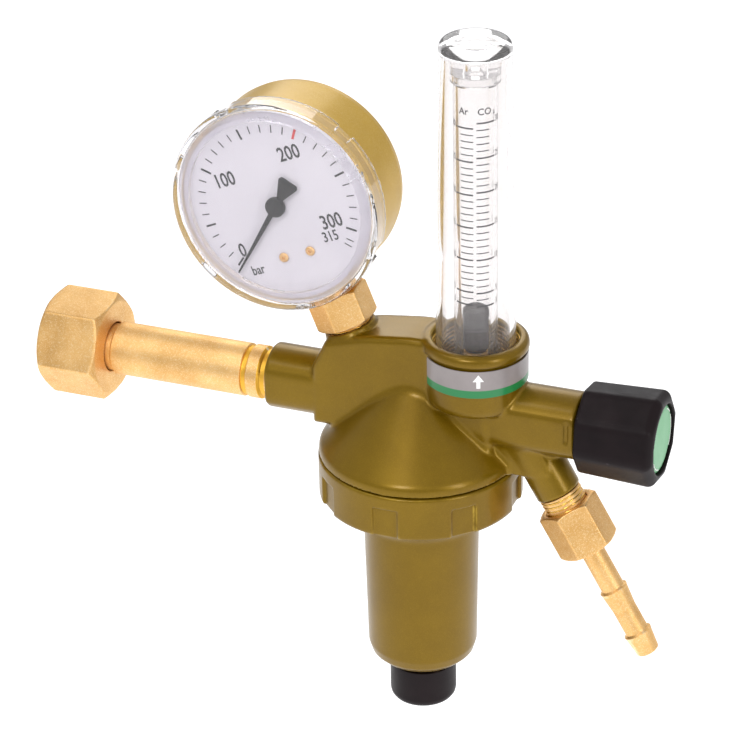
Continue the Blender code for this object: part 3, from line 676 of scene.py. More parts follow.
def net(values):
    """Squares between the cells that the surface passes through."""
    inside = values < 0
    filled = sum(inside[a:inside.shape[0] - 1 + a, b:inside.shape[1] - 1 + b,
                        c:inside.shape[2] - 1 + c].astype(np.int8)
                 for a in (0, 1) for b in (0, 1) for c in (0, 1))
    mixed = (filled > 0) & (filled < 8)
    number = np.full(mixed.shape, -1)
    number[mixed] = np.arange(mixed.sum())
    squares = []
    for a in range(3):
        b, c = (a + 1) % 3, (a + 2) % 3
        low = [slice(1, -1)] * 3
        low[a] = slice(0, -1)
        high = list(low)
        high[a] = slice(1, None)
        here, there = inside[tuple(low)], inside[tuple(high)]
        at = np.argwhere(here != there)
        leaving = here[tuple(at.T)]
        at += [0 if k == a else 1 for k in range(3)]
        square = []
        for back_b, back_c in ((1, 1), (0, 1), (0, 0), (1, 0)):
            cell = at.copy()
            cell[:, b] -= back_b
            cell[:, c] -= back_c
            square.append(number[tuple(cell.T)])
        square = np.stack(square, 1)
        square[~leaving] = square[~leaving][:, ::-1]
        squares.append(square)
    return crossings(values, np.argwhere(mixed)), np.concatenate(squares)


def pulled(points, shape, cell, rounds=3, step=0.02):
    """Move points onto the surface along its slope."""
    start = points.copy()
    for _ in range(rounds):
        slope = np.empty_like(points)
        for k in range(3):
            nudge = np.zeros(3)
            nudge[k] = step
            slope[:, k] = (shape(*(points + nudge).T) - shape(*(points - nudge).T)) / (2 * step)
        size = np.maximum((slope ** 2).sum(1), 0.25)
        points = points - slope * (shape(*points.T) / size)[:, None]
        points = start + np.clip(points - start, -0.6 * cell, 0.6 * cell)
    return points


def moulded(name, shape, low, high, cell, look, place, body="regulator", nodes=None):
    """Lay a net over a distance shape, given the box that holds it."""
    lines = [np.arange(a - 1.5 * cell, b + 2.5 * cell, cell) for a, b in zip(low, high)]
    grid = np.meshgrid(*lines, indexing="ij", sparse=True)
    values = np.broadcast_to(shape(*[part.astype(np.float32) for part in grid]),
                             [len(line) for line in lines])
    points, faces = net(values)
    points = points * cell + [line[0] for line in lines]
    points = pulled(points, shape, cell)
    return piece(name + "_fine", moved(points, place), faces.tolist(), look, body,
                 (name,) if nodes is None else nodes)


# %% [markdown]
# The body is one casting: a flat sided arm, the bell that covers the diaphragm, the socket
# for the flow tube and the bosses for the stem, the gauge and the hose. Where the bell's cone
# runs into the arm the metal flows together, so everything is joined with fillets.

# %% Body casting
SLAB = outline([
    (81.6, -10.1, 1), (81.6, 9.5, 4), (86.4, 19.2, 2.5), (98.3, 22.6, 40), (114, 24.6, 40),
    (136.2, 24.4), (140.2, -10.1)], steps=3)
WEB = outline([(122, -4), (154, -4), (157, -15), (149.5, -17.4, 2), (122, -17.4)], steps=3)
BELL = outline([(0, 16.9), (31.4, -14.5, 3), (31.4, -17.2), (28.5, -17.2), (28.5, -24),
                (0, -24)], steps=3)
SOCKET = outline([(0, 25), (16.2, 25, 1.8), (16.2, 22), (15.3, 21), (15.3, 3.3, 3), (0, 3.3)],
                 steps=3)
CHAMBER = [(0, 10), (5, 10), (5, -1.2), (6.2, -1.2), (6.2, -6), (15, -6), (24.5, -15.5),
           (24.5, -26), (0, -26)]
GAUGE_PORT, TUBE_X = (91.6, 21.0), 132.2


def plain(corners):
    return [(float(u), float(v)) for u, v in corners]


def leaning(x, y, z, origin, direction):
    """Distance off a leaning axis in the middle plane, and the place along it."""
    u, w = x - origin[0], z - origin[1]
    along = u * direction[0] + w * direction[1]
    return np.hypot(u * direction[1] - w * direction[0], y), along


def body_shape(x, y, z):
    slab = common(flat_shape(x, z, plain(SLAB)), np.abs(y) - 9.1, 2.2)
    web = common(flat_shape(x, z, plain(WEB)), np.abs(y) - 6.6, 0.8)
    boss = flatted(z, y, x, 10.2, 9.0, 65.7, 95, 0.9)
    arm = flatted(z, y, x, 10.4, 9.0, 128, 166, 0.7)
    off_bonnet = np.hypot(x - 114, y)
    off_tube = np.hypot(x - TUBE_X, y)
    bell = flat_shape(off_bonnet, z, plain(BELL))
    socket = flat_shape(off_tube, z, plain(SOCKET))
    outlet = bar(*leaning(x, y, z, (158.9, -23.9), (0.5, -0.8660254)), 7.1, -26, 0, 0.5)
    pad = bar(*leaning(x, y, z, GAUGE_PORT, (GAUGE_UP[0], GAUGE_UP[2])), 8.2, -10, 0.6, 0.5)
    metal = joined(slab, arm, 1.2)
    metal = joined(metal, boss, 0.5)
    metal = joined(metal, web, 0.7)
    metal = joined(metal, bell, 1.5)
    metal = joined(metal, outlet, 1.4)
    metal = joined(metal, pad, 0.8)
    metal = joined(metal, socket, 0.9)
    mark = np.maximum(np.maximum(np.abs(x - 163.6) - 0.7, np.abs(z - 1.5) - 3.6),
                      8.55 - np.abs(y))
    metal = without(metal, mark, 0.2)
    way = np.minimum(bar(np.hypot(y, z), x, 7.9, 60, 76, 0.1),
                     bar(np.hypot(y, z), x, 3.2, 60, 113, 0.1))
    chamber = flat_shape(off_bonnet, z, CHAMBER)
    well = np.minimum(bar(off_tube, z, 13.2, 12, 30, 0.1), bar(off_tube, z, 6.3, 7.5, 30, 0.1))
    needle = np.minimum(bar(np.hypot(y, z), x, 7.8, 158.2, 170, 0.1),
                        bar(np.hypot(y, z), x, 4.4, 144.5, 170, 0.1))
    needle = np.minimum(needle, bar(np.hypot(y, z), x, 1.5, 138.9, 146, 0.1))
    off, along = leaning(x, y, z, (158.9, -23.9), (0.5, -0.8660254))
    hose_way = np.minimum(bar(off, along, 5.1, -9.3, 4, 0.1), bar(off, along, 2.4, -27.6, 4, 0.1))
    off, along = leaning(x, y, z, GAUGE_PORT, (GAUGE_UP[0], GAUGE_UP[2]))
    gauge_way = np.minimum(bar(off, along, 6.9, -9, 4, 0.1), bar(off, along, 2.2, -22.6, 4, 0.1))
    for hollow in (way, chamber, well, needle, hose_way, gauge_way):
        metal = without(metal, hollow, 0.35)
    return metal


AS_PLACED = np.eye(4)
moulded("body_casting", body_shape, (65.7, -31.4, -28), (166, 31.4, 25), 0.6, "olive_paint",
        AS_PLACED)

# %% [markdown]
# The bonnet screws up into the body and holds the main spring. Its upper ring carries slots
# for a pin spanner, and below them it draws in to a plain barrel with a round shoulder.

# %% Spring bonnet
BONNET_PROFILE = outline([
    (28.8, -17.7), (31.7, -17.7, 0.6), (31.7, -32, 1), (23, -32.8, 3), (18.1, -41, 4),
    (17.2, -92, 6), (9.6, -92, 0.8), (9.6, -94.2, 0.4), (8.5, -94.2), (8.5, -98.5), (4.3, -98.5),
    (4.3, -86.5), (15, -86.5), (15.6, -37), (24.4, -27.4), (24.4, -26.3), (28.8, -26.3)],
    steps=3)
SPANNER_SLOTS = 8


def bonnet_shape(x, y, z):
    metal = flat_shape(np.hypot(x, y), z, plain(BONNET_PROFILE))
    turn = np.arctan2(y, x)
    pitch = 2 * pi / SPANNER_SLOTS
    turn = turn - pitch * np.round(turn / pitch)
    radius = np.hypot(x, y)
    across, out = radius * np.sin(turn), radius * np.cos(turn)
    slot = common(np.maximum(np.abs(across) - 3.9, 30.5 - out), z + 22.1, 0.3)
    return without(metal, slot, 0.3)


moulded("spring_bonnet", bonnet_shape, (-31.7, -31.7, -98.5), (31.7, 31.7, -17.7), 0.62,
        "olive_paint", BONNET)

# %% [markdown]
# The hexagon nuts are bar stock with both ends turned down, which leaves the curved line on
# each flat. The big one draws the stem's flange against the cylinder valve, and a turned
# stem, grooved near the body, joins it to the casting.


# %% Nuts
def hexagon(u, v, flats, spin):
    """Distance from a hexagon; spin is the angle of one flat's middle."""
    sides = [np.abs(u * cos(radians(spin + turn)) + v * sin(radians(spin + turn)))
             for turn in (0, 60, 120)]
    half = flats / 2
    return common(common(sides[0] - half, sides[1] - half, 0.35), sides[2] - half, 0.35)


def nut_shape(flats, low, high, chamfer, spin, bores):
    corner = flats / 2 / cos(pi / 6)

    def shape(u, v, w):
        radius = np.hypot(u, v)
        metal = common(hexagon(u, v, flats, spin), np.abs(w - (low + high) / 2)
                       - (high - low) / 2, 0.25)
        for end in (w - high, low - w):
            metal = common(metal, (radius - corner + chamfer) * 0.5 + end * 0.866, 0.2)
        for size, start, stop in bores:
            metal = without(metal, bar(radius, w, size, start, stop, 0.1), 0.4)
        return metal
    return shape


moulded("inlet_nut", nut_shape(30, -10.1, 10.4, 2.6, 5.5, [(10.1, -14, 5.5), (7.9, 0, 14)]),
        (-17.4, -17.4, -10.1), (17.4, 17.4, 10.4), 0.45, "brass", ARM, "inlet_nut")
moulded("hose_nut", nut_shape(17, 5.0, 20.5, 1.4, 0, [(6.95, 0, 15.8), (4.7, 10, 25)]),
        (-9.9, -9.9, 5), (9.9, 9.9, 20.5), 0.3, "brass", OUTLET, "hose_nut")


def gauge_socket_shape(u, v, w):
    port = -46.7
    radius = np.hypot(u, v)
    nut = nut_shape(17, port + 1.8, port + 12.6, 1.1, 0, [])(u, v, w)
    neck = bar(radius, w, 5.5, port + 8, -24, 0.2)
    thread = bar(radius, w, 6.5, port - 8.5, port + 6, 0.3)
    block = np.maximum(np.maximum(np.abs(u) - 4, np.abs(v + 2.95) - 3.95),
                       np.abs(w + 20.5) - 4.5)
    stub = np.maximum(np.maximum(np.abs(u + 2.75) - 2.75, np.abs(v + 2) - 1.6),
                      np.abs(w + 20) - 2)
    metal = joined(joined(nut, neck, 0.8), thread, 0.2)
    metal = joined(np.minimum(metal, block), stub, 0.1)
    return without(metal, bar(radius, w, 1.5, port - 12, -18, 0.1), 0.2)


moulded("gauge_socket", gauge_socket_shape, (-9.9, -9.9, -55.3), (9.9, 9.9, -16), 0.36, "brass",
        STALK)

# %% Stem and seal
turned("inlet_stem", [
    (9.4, 2), (9.4, 5.1), (7.5, 5.1, 0.6), (7.5, 12.1), (8.4, 12.6), (8.4, 57), (7.7, 57.3),
    (7.7, 58.7), (8.4, 59), (8.4, 62.8), (7.5, 63.6), (7.5, 75.5), (2.6, 75.5), (2.6, 17),
    (4.3, 17), (4.3, 2)], "stem_brass", ARM, closed=True, steps=128)
turned("inlet_gasket", [(9, 0), (9, 1.7), (4.6, 1.7), (4.6, 0)], "seal_fibre", ARM, closed=True,
       soft=0.35)

# %% [markdown]
# The knob is moulded with eight broad, soft facets. A cone cut by eight slightly leaning
# planes gives them, and a generous rounding turns the ridges and the front rim. A pale green
# disc is pressed into a recess in its face.


# %% Flow knob
KNOB_SPIN = 34.5


def knob_shape(u, v, w):
    radius = np.hypot(u, v)
    cone = radius - (13.9 + (w - 167) / 24.5)
    facets = None
    reach = 13.15 + 0.9 * (w - 166) / 26.5
    for side in range(8):
        turn = radians(KNOB_SPIN + 45 * side)
        flat = u * cos(turn) + v * sin(turn) - reach
        facets = flat if facets is None else common(facets, flat, 0.45)
    body = common(cone, facets, 0.4)
    body = common(body, w - 191.5, 3.2)
    body = common(body, 167 - w, 1.0)
    for size, start, stop in ((10.9, 189.4, 195), (3.7, 186.3, 195), (3.3, 172, 190),
                              (10.6, 160, 172)):
        body = without(body, bar(radius, w, size, start, stop, 0.1), 0.35)
    return body


moulded("flow_knob", knob_shape, (-15, -15, 167), (15, 15, 191.5), 0.42, "black_plastic", ARM,
        "knob")
turned("knob_cap", [
    (0, 191.05), (8.8, 190.85), (9.9, 190.6), (10.6, 190.1, 0.3), (10.6, 189.7), (0, 189.7)],
    "green_plastic", ARM, "knob", steps=128)
turned("knob_screw", [
    (0, 188.4), (1.2, 188.4), (1.4, 189), (3.3, 189), (3.3, 186.7), (1.2, 186.7), (1.2, 180.2),
    (0, 180.2)], "spring_steel", ARM, "knob", soft=0.15)
turned("needle_spindle", [
    (0, 179.5), (1.5, 179.5), (1.5, 186), (3, 186), (3, 156), (4, 156), (4, 154.4),
    (2.6, 154.4), (2.6, 152), (4, 152), (4, 146), (2.6, 146), (2.6, 144.6), (1.2, 143.4),
    (0.5, 141.2), (0, 141.2)], "brass", ARM, "knob", soft=0.12, steps=64)
turned("gland_nut", [(7.4, 158.5), (7.4, 165.8), (3.4, 165.8), (3.4, 158.5)], "brass", ARM,
       closed=True, soft=0.4)

# %% [markdown]
# The flow meter is a float in a tapered tube: the more gas flows, the higher it rides. A
# thicker clear cover stands round it, screwed down into the brass socket, and its rounded
# top acts as a lens. Clear pieces keep their real wall thickness, because the bright and
# dark lines along their edges come from light that bends through the wall.

# %% Flow tube
turned("cover_tube", [
    (0, 119.7), (10.7, 119.7, 2.6), (12.2, 20), (12.8, 20), (12.8, 14.4), (10.4, 14.4),
    (8.8, 115.7, 0.8), (0, 115.7)], "cover_plastic", TUBE, soft=0.15, steps=160)
turned("metering_tube", [
    (6.0, 109.6), (6.0, 107.2), (6.5, 106.8), (6.5, 21.6), (5.9, 21.2), (5.9, 13.8), (4.3, 13.8),
    (5.3, 109.6)],
       "clear_plastic", TUBE, closed=True, soft=0.15, steps=128)
turned("tube_top_guide", [
    (7.4, 115.3), (7.4, 107.6), (6.4, 107.6), (6.4, 110.0), (2.2, 110.0), (2.2, 115.3)],
    "clear_plastic", TUBE, closed=True, soft=0.2, steps=128)
turned("tube_seat", [
    (3.7, 20.7), (3.7, 13.5), (6, 13.5), (6, 7.8), (1.4, 7.8), (1.4, 20.7)], "brass", TUBE,
    closed=True, soft=0.15)
turned("flow_float", [
    (0, 33.8), (2.9, 33.8, 0.4), (3.3, 34.6, 0.3), (4.0, 34.6, 0.3), (4.0, 32.4), (3.8, 31.9),
    (3.8, 22.2), (3.2, 21), (0, 21)], "float_grey", TUBE, "float", soft=0.15)
turned("cover_o_ring", [(11.3 + 0.8 * cos(2 * pi * i / 16), 13.2 + 0.8 * sin(2 * pi * i / 16))
                        for i in range(16)], "rubber", TUBE, closed=True, soft=0)

# %% Bottom cap and hose tail
turned("screw_cap", [
    (0, -106.4), (7.2, -106.4), (7.2, -99), (8.9, -99), (8.9, -94.5), (10.6, -94.5),
    (10.6, -108, 2.6), (0, -108)],
    "black_plastic", BONNET, "screw_cap", soft=0.2)
turned("outlet_nipple", [
    (6.6, 9.6), (6.6, 0.3), (4.8, 0.3), (4.8, -9), (2.2, -9), (2.2, 6.6), (4, 9.6)], "brass",
    OUTLET, closed=True)
turned("hose_barb", [
    (3.0, 59.8), (3.6, 59.4), (4.3, 53.4), (4.5, 52.4), (3.7, 51.8), (3.7, 43.4), (4.3, 37.2),
    (4.5, 36.2), (3.7, 35.6), (3.7, 22), (4.3, 21.4), (4.3, 15.4), (6.5, 15.4), (6.5, 12.6),
    (3.8, 9.9), (2.0, 9.9), (2.0, 59.8)], "brass", OUTLET, closed=True, soft=0.1)

# %% [markdown]
# A printed band wraps the socket, open at the back, with a green line round its foot. It
# shows only a plain arrow, which points up the tube the way the gas flows.


# %% Label band
def band(radius, thickness, low, high, start, stop, steps):
    """Points and faces of a curved strip round the tube's axis, angles in degrees."""
    points, faces = [], []
    for step in range(steps + 1):
        angle = radians(start + (stop - start) * step / steps)
        for r, z in ((radius, low), (radius + thickness, low), (radius + thickness, high),
                     (radius, high)):
            points.append((r * cos(angle), r * sin(angle), z))
        if step:
            old, new = 4 * step - 4, 4 * step
            faces += [(old + k, new + k, new + (k + 1) % 4, old + (k + 1) % 4) for k in range(4)]
    last = 4 * steps
    faces += [(0, 1, 2, 3), (last + 3, last + 2, last + 1, last)]
    return points, faces


points, faces = band(15.6, 0.3, 11.8, 20.6, -138, 138, 120)
piece("label_band_fine", moved(points, TUBE), faces, "printed_label", nodes=("label_band",),
      crease=30)


def wrapped(points, radius, facing):
    """Bend flat (across, up, thickness) points round the tube's axis."""
    points = np.asarray(points, float)
    angle = radians(facing) + points[:, 0] / radius
    reach = radius + points[:, 2]
    return np.stack([reach * np.cos(angle), reach * np.sin(angle), points[:, 1]], 1)


def slab_of(corners, thickness, longest=0.6):
    """A thin closed plate over a convex outline, cut into strips that can bend."""
    shape = bmesh.new()
    top = [shape.verts.new((u, v, thickness)) for u, v in corners]
    bottom = [shape.verts.new((u, v, 0)) for u, v in corners]
    shape.faces.new(top)
    shape.faces.new(bottom[::-1])
    for index in range(len(top)):
        after = (index + 1) % len(top)
        shape.faces.new((top[index], bottom[index], bottom[after], top[after]))
    low, high = min(u for u, v in corners), max(u for u, v in corners)
    for step in range(1, int((high - low) / longest) + 1):
        bmesh.ops.bisect_plane(
            shape, geom=shape.verts[:] + shape.edges[:] + shape.faces[:],
            plane_co=(low + longest * step, 0, 0), plane_no=(1, 0, 0))
    shape.verts.index_update()
    result = ([tuple(vert.co) for vert in shape.verts],
              [[vert.index for vert in face.verts] for face in shape.faces])
    shape.free()
    return result


arrow_points, arrow_faces = [], []
for part in ([(-0.6, 15.2), (0.6, 15.2), (0.6, 17.4), (-0.6, 17.4)],
             [(-1.7, 17.4), (1.7, 17.4), (0, 19.7)]):
    points, faces = slab_of(part, 0.04)
    arrow_faces += [[index + len(arrow_points) for index in face] for face in faces]
    arrow_points += points
piece("label_arrow", moved(wrapped(arrow_points, 15.91, -68), TUBE), arrow_faces, "print_white",
      crease=30)

# %% [markdown]
# The contents gauge leans back from the arm on its socket. Its steel case is satin gold, and
# a clear window with a broad rim snaps over it: the small notches in the rim are where the
# case's lugs hook in. A frosted lip under the pane hides the gap round the dial.

# %% Gauge case and window
CASE_BACK = -15.8
turned("gauge_case", [
    (0, CASE_BACK + 0.8), (30.1, CASE_BACK + 0.8, 5), (30.1, 12.4), (31, 12.4), (31, 9.4),
    (30.8, 9.2), (30.8, 8.7), (31, 8.5), (31, CASE_BACK, 6), (0, CASE_BACK)], "gold_paint",
    DIAL, soft=0.2, steps=192)
WINDOW = outline([(0, 16.6), (33, 16.6, 1.6), (33, 8), (31.3, 8), (31.3, 14.7, 0.5),
                  (0, 14.7)], steps=3)
NOTCHES = (28, 100, 142, 205, 262, 318)


def window_shape(u, v, w):
    radius = np.hypot(u, v)
    clear = flat_shape(radius, w, plain(WINDOW))
    rim = bar(radius, w, 29.6, 16.2, 18, 0.1)
    clear = without(clear, rim, 0.2)
    for angle in NOTCHES:
        across = -u * sin(radians(angle)) + v * cos(radians(angle))
        out = u * cos(radians(angle)) + v * sin(radians(angle))
        notch = np.maximum(np.maximum(np.abs(across) - 2.6, 32.2 - out), w - 12.6)
        clear = without(clear, notch, 0.3)
    return clear


moulded("gauge_window", window_shape, (-33, -33, 8), (33, 33, 16.6), 0.42, "clear_window", DIAL)
turned("window_rim", [
    (30.9, 14.55), (30.9, 13.0), (28.2, 12.3, 0.4), (27.6, 12.7, 0.3), (27.6, 14.55)],
    "frosted_rim", DIAL, nodes=(), closed=True, soft=0.1, steps=160)
turned("gauge_dial", [(30.0, 11.7), (30.0, 11.1), (1.6, 11.1), (1.6, 11.7)], "dial_white", DIAL,
       closed=True, soft=0.1, steps=160)


def on_dial(angle, radius):
    """(right, up) on the dial for an angle clockwise from the top."""
    return radius * sin(radians(angle)), radius * cos(radians(angle))


for number, angle in enumerate((164, 196), 1):
    right, up = on_dial(angle, 16.8)
    spot = DIAL @ np.block([[np.eye(3), np.array([[right], [up], [0]])], [0, 0, 0, 1]])
    turned(f"dial_screw_{number}", [
        (0, 12.15), (0.35, 12.15), (0.5, 12.6), (1.2, 12.6), (1.5, 12.3), (1.5, 12.0),
        (0.8, 12.0), (0.8, 8.8), (0, 8.8)], "brass", spot, soft=0.1, steps=48)

# %% [markdown]
# The pointer is a slim blade with a broad tail that balances it, pressed on a turned hub. It
# rests on a pin beside the mark for nothing, so it is drawn there and rides its own body.

# %% Pointer
REST_ANGLE = -129.5


def turned_to(points, angle):
    """Turn (right, up, out) points clockwise on the dial."""
    points = np.asarray(points, float)
    c, s = cos(radians(angle)), sin(radians(angle))
    return np.stack([points[:, 0] * c + points[:, 1] * s, points[:, 1] * c - points[:, 0] * s,
                     points[:, 2]], 1)


def plate(corners, low, high):
    """A flat plate over an outline, from low to high."""
    count = len(corners)
    points = [(u, v, high) for u, v in corners] + [(u, v, low) for u, v in corners]
    faces = [list(range(count)), list(range(2 * count - 1, count - 1, -1))]
    faces += [(k, k + count, (k + 1) % count + count, (k + 1) % count) for k in range(count)]
    return points, faces


BLADE = outline([
    (-0.26, 26.8, 0.2), (0.26, 26.8, 0.2), (0.8, 3, 1), (0.9, -3, 1), (3.25, -9.1, 0.5),
    (2.7, -10.1, 0.6), (-2.7, -10.1, 0.6), (-3.25, -9.1, 0.5), (-0.9, -3, 1), (-0.8, 3, 1)],
    steps=4)
points, faces = plate(plain(BLADE), 13.0, 13.4)
HUB = outline([(0, 14.1), (3.1, 14.1, 0.5), (3.1, 12.5), (1.15, 12.5), (1.15, 13.6),
               (0, 13.6)], closed=False, soft=0.15)
hub_points, hub_faces = [], []
for radius, height in HUB:
    hub_points += [(radius * cos(pi * s / 32), radius * sin(pi * s / 32), height)
                   for s in range(64)]
for ring in range(len(HUB) - 1):
    hub_faces += [(64 * ring + s, 64 * ring + (s + 1) % 64, 64 * ring + 64 + (s + 1) % 64,
                   64 * ring + 64 + s) for s in range(64)]
piece("pointer_hub", moved(hub_points, DIAL), hub_faces, "pointer_black", "pointer",
      ("gauge_pointer",))
piece("pointer_blade", moved(turned_to(points, REST_ANGLE), DIAL), faces, "pointer_black",
      "pointer", crease=30)

# %% [markdown]
# The green disc in the knob has a little pale print near its rim. Only its strokes matter, so
# three curved strips stand for it. Each is a thin plate over an outline of two arcs, in the
# same way as the pointer's blade.


# %% Knob face print
def arc_strip(inner, outer, start, stop, steps=16):
    """The outline of a curved strip; start and stop are angles in degrees."""
    turns = [radians(start + (stop - start) * step / steps) for step in range(steps + 1)]
    return ([(outer * cos(turn), outer * sin(turn)) for turn in turns]
            + [(inner * cos(turn), inner * sin(turn)) for turn in reversed(turns)])


arc_points, arc_faces = [], []
for start, stop in ((52, 118), (128, 150), (-64, -20)):
    points, faces = plate(arc_strip(9.15, 9.45, start, stop), 190.72, 190.86)
    arc_faces += [[index + len(arc_points) for index in face] for face in faces]
    arc_points += points
piece("knob_face_print", moved(arc_points, ARM), arc_faces, "print_white", "knob",
      crease=30)
print("strips of print on the knob: 3")

# %% [markdown]
# Scales and threads repeat one small shape by rule, which is work for Geometry Nodes. One
# tree sets dashes round a circle for the dial, one stacks curved dashes up the flow tube, and
# one winds a ridge round a bar for a screw thread. Each tree takes its sizes by name.


# %% Geometry node helpers
def shape_tree(name, inputs):
    """An empty geometry tree with named number inputs and one geometry output."""
    tree = bpy.data.node_groups.new(name, "GeometryNodeTree")
    for title, value in inputs.items():
        kind = "NodeSocketInt" if isinstance(value, int) else "NodeSocketFloat"
        socket = tree.interface.new_socket(title, in_out="INPUT", socket_type=kind)
        socket.default_value = value
    tree.interface.new_socket("Look", in_out="INPUT", socket_type="NodeSocketMaterial")
    tree.interface.new_socket("Geometry", in_out="OUTPUT", socket_type="NodeSocketGeometry")
    return tree, tree.nodes.new("NodeGroupInput"), tree.nodes.new("NodeGroupOutput")


def close_tree(tree, given, out, geometry):
    real = node(tree, "GeometryNodeRealizeInstances", {"Geometry": geometry})
    dressed = node(tree, "GeometryNodeSetMaterial", {
        "Geometry": real.outputs["Geometry"], "Material": given.outputs["Look"]})
    tree.links.new(dressed.outputs["Geometry"], out.inputs["Geometry"])
    return tree


def add_up(tree, first, second, operation="ADD"):
    return node(tree, "ShaderNodeMath", {0: first, 1: second}, operation=operation).outputs[0]


def grown(tree, values, look):
    """Run a tree with these inputs and return the result's points in millimetres and faces."""
    holder = bpy.data.objects.new("holder", bpy.data.meshes.new("holder"))
    SCENE.collection.objects.link(holder)
    step = holder.modifiers.new("shape", "NODES")
    step.node_group = tree
    for socket in tree.interface.items_tree:
        if socket.in_out == "INPUT":
            step[socket.identifier] = FINISH[look] if socket.name == "Look" else \
                values[socket.name]
    ready = holder.evaluated_get(bpy.context.evaluated_depsgraph_get())
    mesh = bpy.data.meshes.new_from_object(ready)
    points = [tuple(vert.co) for vert in mesh.vertices]
    faces = [tuple(face.vertices) for face in mesh.polygons]
    bpy.data.objects.remove(holder)
    return points, faces


# %% Dashes round a dial
def dial_dash_tree():
    tree, given, out = shape_tree("dial_dashes", {
        "Count": 2, "First Angle": 0.0, "Step": 0.1, "Middle Radius": 25.0, "Length": 2.0,
        "Width": 0.2, "Thickness": 0.05})
    dots = node(tree, "GeometryNodePoints", {"Count": given.outputs["Count"]})
    size = node(tree, "ShaderNodeCombineXYZ", {
        "X": given.outputs["Width"], "Y": given.outputs["Length"],
        "Z": given.outputs["Thickness"]})
    dash = node(tree, "GeometryNodeMeshCube", {"Size": size.outputs["Vector"]})
    out_to = node(tree, "ShaderNodeCombineXYZ", {"Y": given.outputs["Middle Radius"]})
    placed = node(tree, "GeometryNodeTransform", {
        "Geometry": dash.outputs["Mesh"], "Translation": out_to.outputs["Vector"]})
    index = node(tree, "GeometryNodeInputIndex").outputs["Index"]
    turn = add_up(tree, given.outputs["First Angle"],
                  add_up(tree, index, given.outputs["Step"], "MULTIPLY"))
    spin = node(tree, "ShaderNodeCombineXYZ", {"Z": turn})
    copies = node(tree, "GeometryNodeInstanceOnPoints", {
        "Points": dots.outputs["Points"], "Instance": placed.outputs["Geometry"],
        "Rotation": spin.outputs["Vector"]})
    return close_tree(tree, given, out, copies.outputs["Instances"])


DIAL_DASHES = dial_dash_tree()
DIAL_FACE = 11.7


def dial_angle(reading):
    """Clockwise angle from the top for a reading in bar."""
    return -135 + 270 * reading / 315


def dial_dashes(readings, length, width, outer, look="print_black"):
    """Dashes at evenly spaced readings, which end at the outer radius."""
    step = dial_angle(readings[1]) - dial_angle(readings[0]) if len(readings) > 1 else 0
    points, faces = grown(DIAL_DASHES, {
        "Count": len(readings), "First Angle": -radians(dial_angle(readings[0])),
        "Step": -radians(step), "Middle Radius": outer - length / 2, "Length": length,
        "Width": width, "Thickness": 0.06}, look)
    return [(u, v, w + DIAL_FACE + 0.03) for u, v, w in points], faces


def gathered(parts):
    """Several (points, faces) as one."""
    points, faces = [], []
    for more_points, more_faces in parts:
        faces += [tuple(index + len(points) for index in face) for face in more_faces]
        points += [tuple(point) for point in more_points]
    return points, faces


# %% Lettering
def lettering(words, height, thickness=0.06, squeeze=0.78, weight=0.0):
    """Words as a flat mesh in millimetres, centred, as (points, faces)."""
    curve = bpy.data.curves.new("letters", "FONT")
    curve.body = words
    curve.size = height / 0.72
    curve.extrude = thickness / 2
    curve.offset = weight
    curve.align_x = "CENTER"
    curve.align_y = "CENTER"
    curve.resolution_u = 3
    holder = bpy.data.objects.new("letters", curve)
    SCENE.collection.objects.link(holder)
    bpy.context.view_layer.update()
    mesh = bpy.data.meshes.new_from_object(
        holder.evaluated_get(bpy.context.evaluated_depsgraph_get()))
    shape = bmesh.new()
    shape.from_mesh(mesh)
    bmesh.ops.remove_doubles(shape, verts=shape.verts, dist=1e-4)
    shape.verts.index_update()
    points = np.array([tuple(vert.co) for vert in shape.verts])
    faces = [tuple(vert.index for vert in face.verts) for face in shape.faces]
    shape.free()
    bpy.data.objects.remove(holder)
    points[:, :2] -= (points[:, :2].max(0) + points[:, :2].min(0)) / 2
    points[:, 2] += thickness / 2
    return points * (squeeze, 1, 1), faces


def shifted(part, u, v, w=0.0):
    points, faces = part
    return np.asarray(points) + (u, v, w), faces


# %% Dial print
ZERO_AT = 10  # the mark for nothing stands one step up, because the scale starts squeezed
TENS = list(range(20, 311, 10))
parts = [dial_dashes(TENS, 2.4, 0.34, 25.6), dial_dashes([ZERO_AT, 50], 3.4, 0.62, 25.7),
         dial_dashes([100, 150], 3.4, 0.62, 25.7),
         dial_dashes([250, 300], 3.4, 0.62, 25.7), dial_dashes([315], 2.4, 0.34, 25.6)]
DIAL_WORDS = {
    "0": (-17.3, -10.9, 4.4), "100": (-13.1, 11.7, 4.5), "200": (10.5, 14.7, 4.5),
    "300": (15.1, -8.7, 4.5), "315": (12.8, -13.2, 3.3), "bar": (-14.8, -18.1, 3.1)}
for words, (right, up, tall) in DIAL_WORDS.items():
    parts.append(shifted(lettering(words, tall, weight=0.02 * tall), right, up, DIAL_FACE))
points, faces = gathered(parts)
piece("dial_print", moved(points, DIAL), faces, "print_black", crease=30)
points, faces = dial_dashes([200], 5.0, 0.75, 27.8, "print_red")
piece("dial_red_mark", moved(points, DIAL) + (0, -0.02, 0), faces, "print_red",
      crease=30)


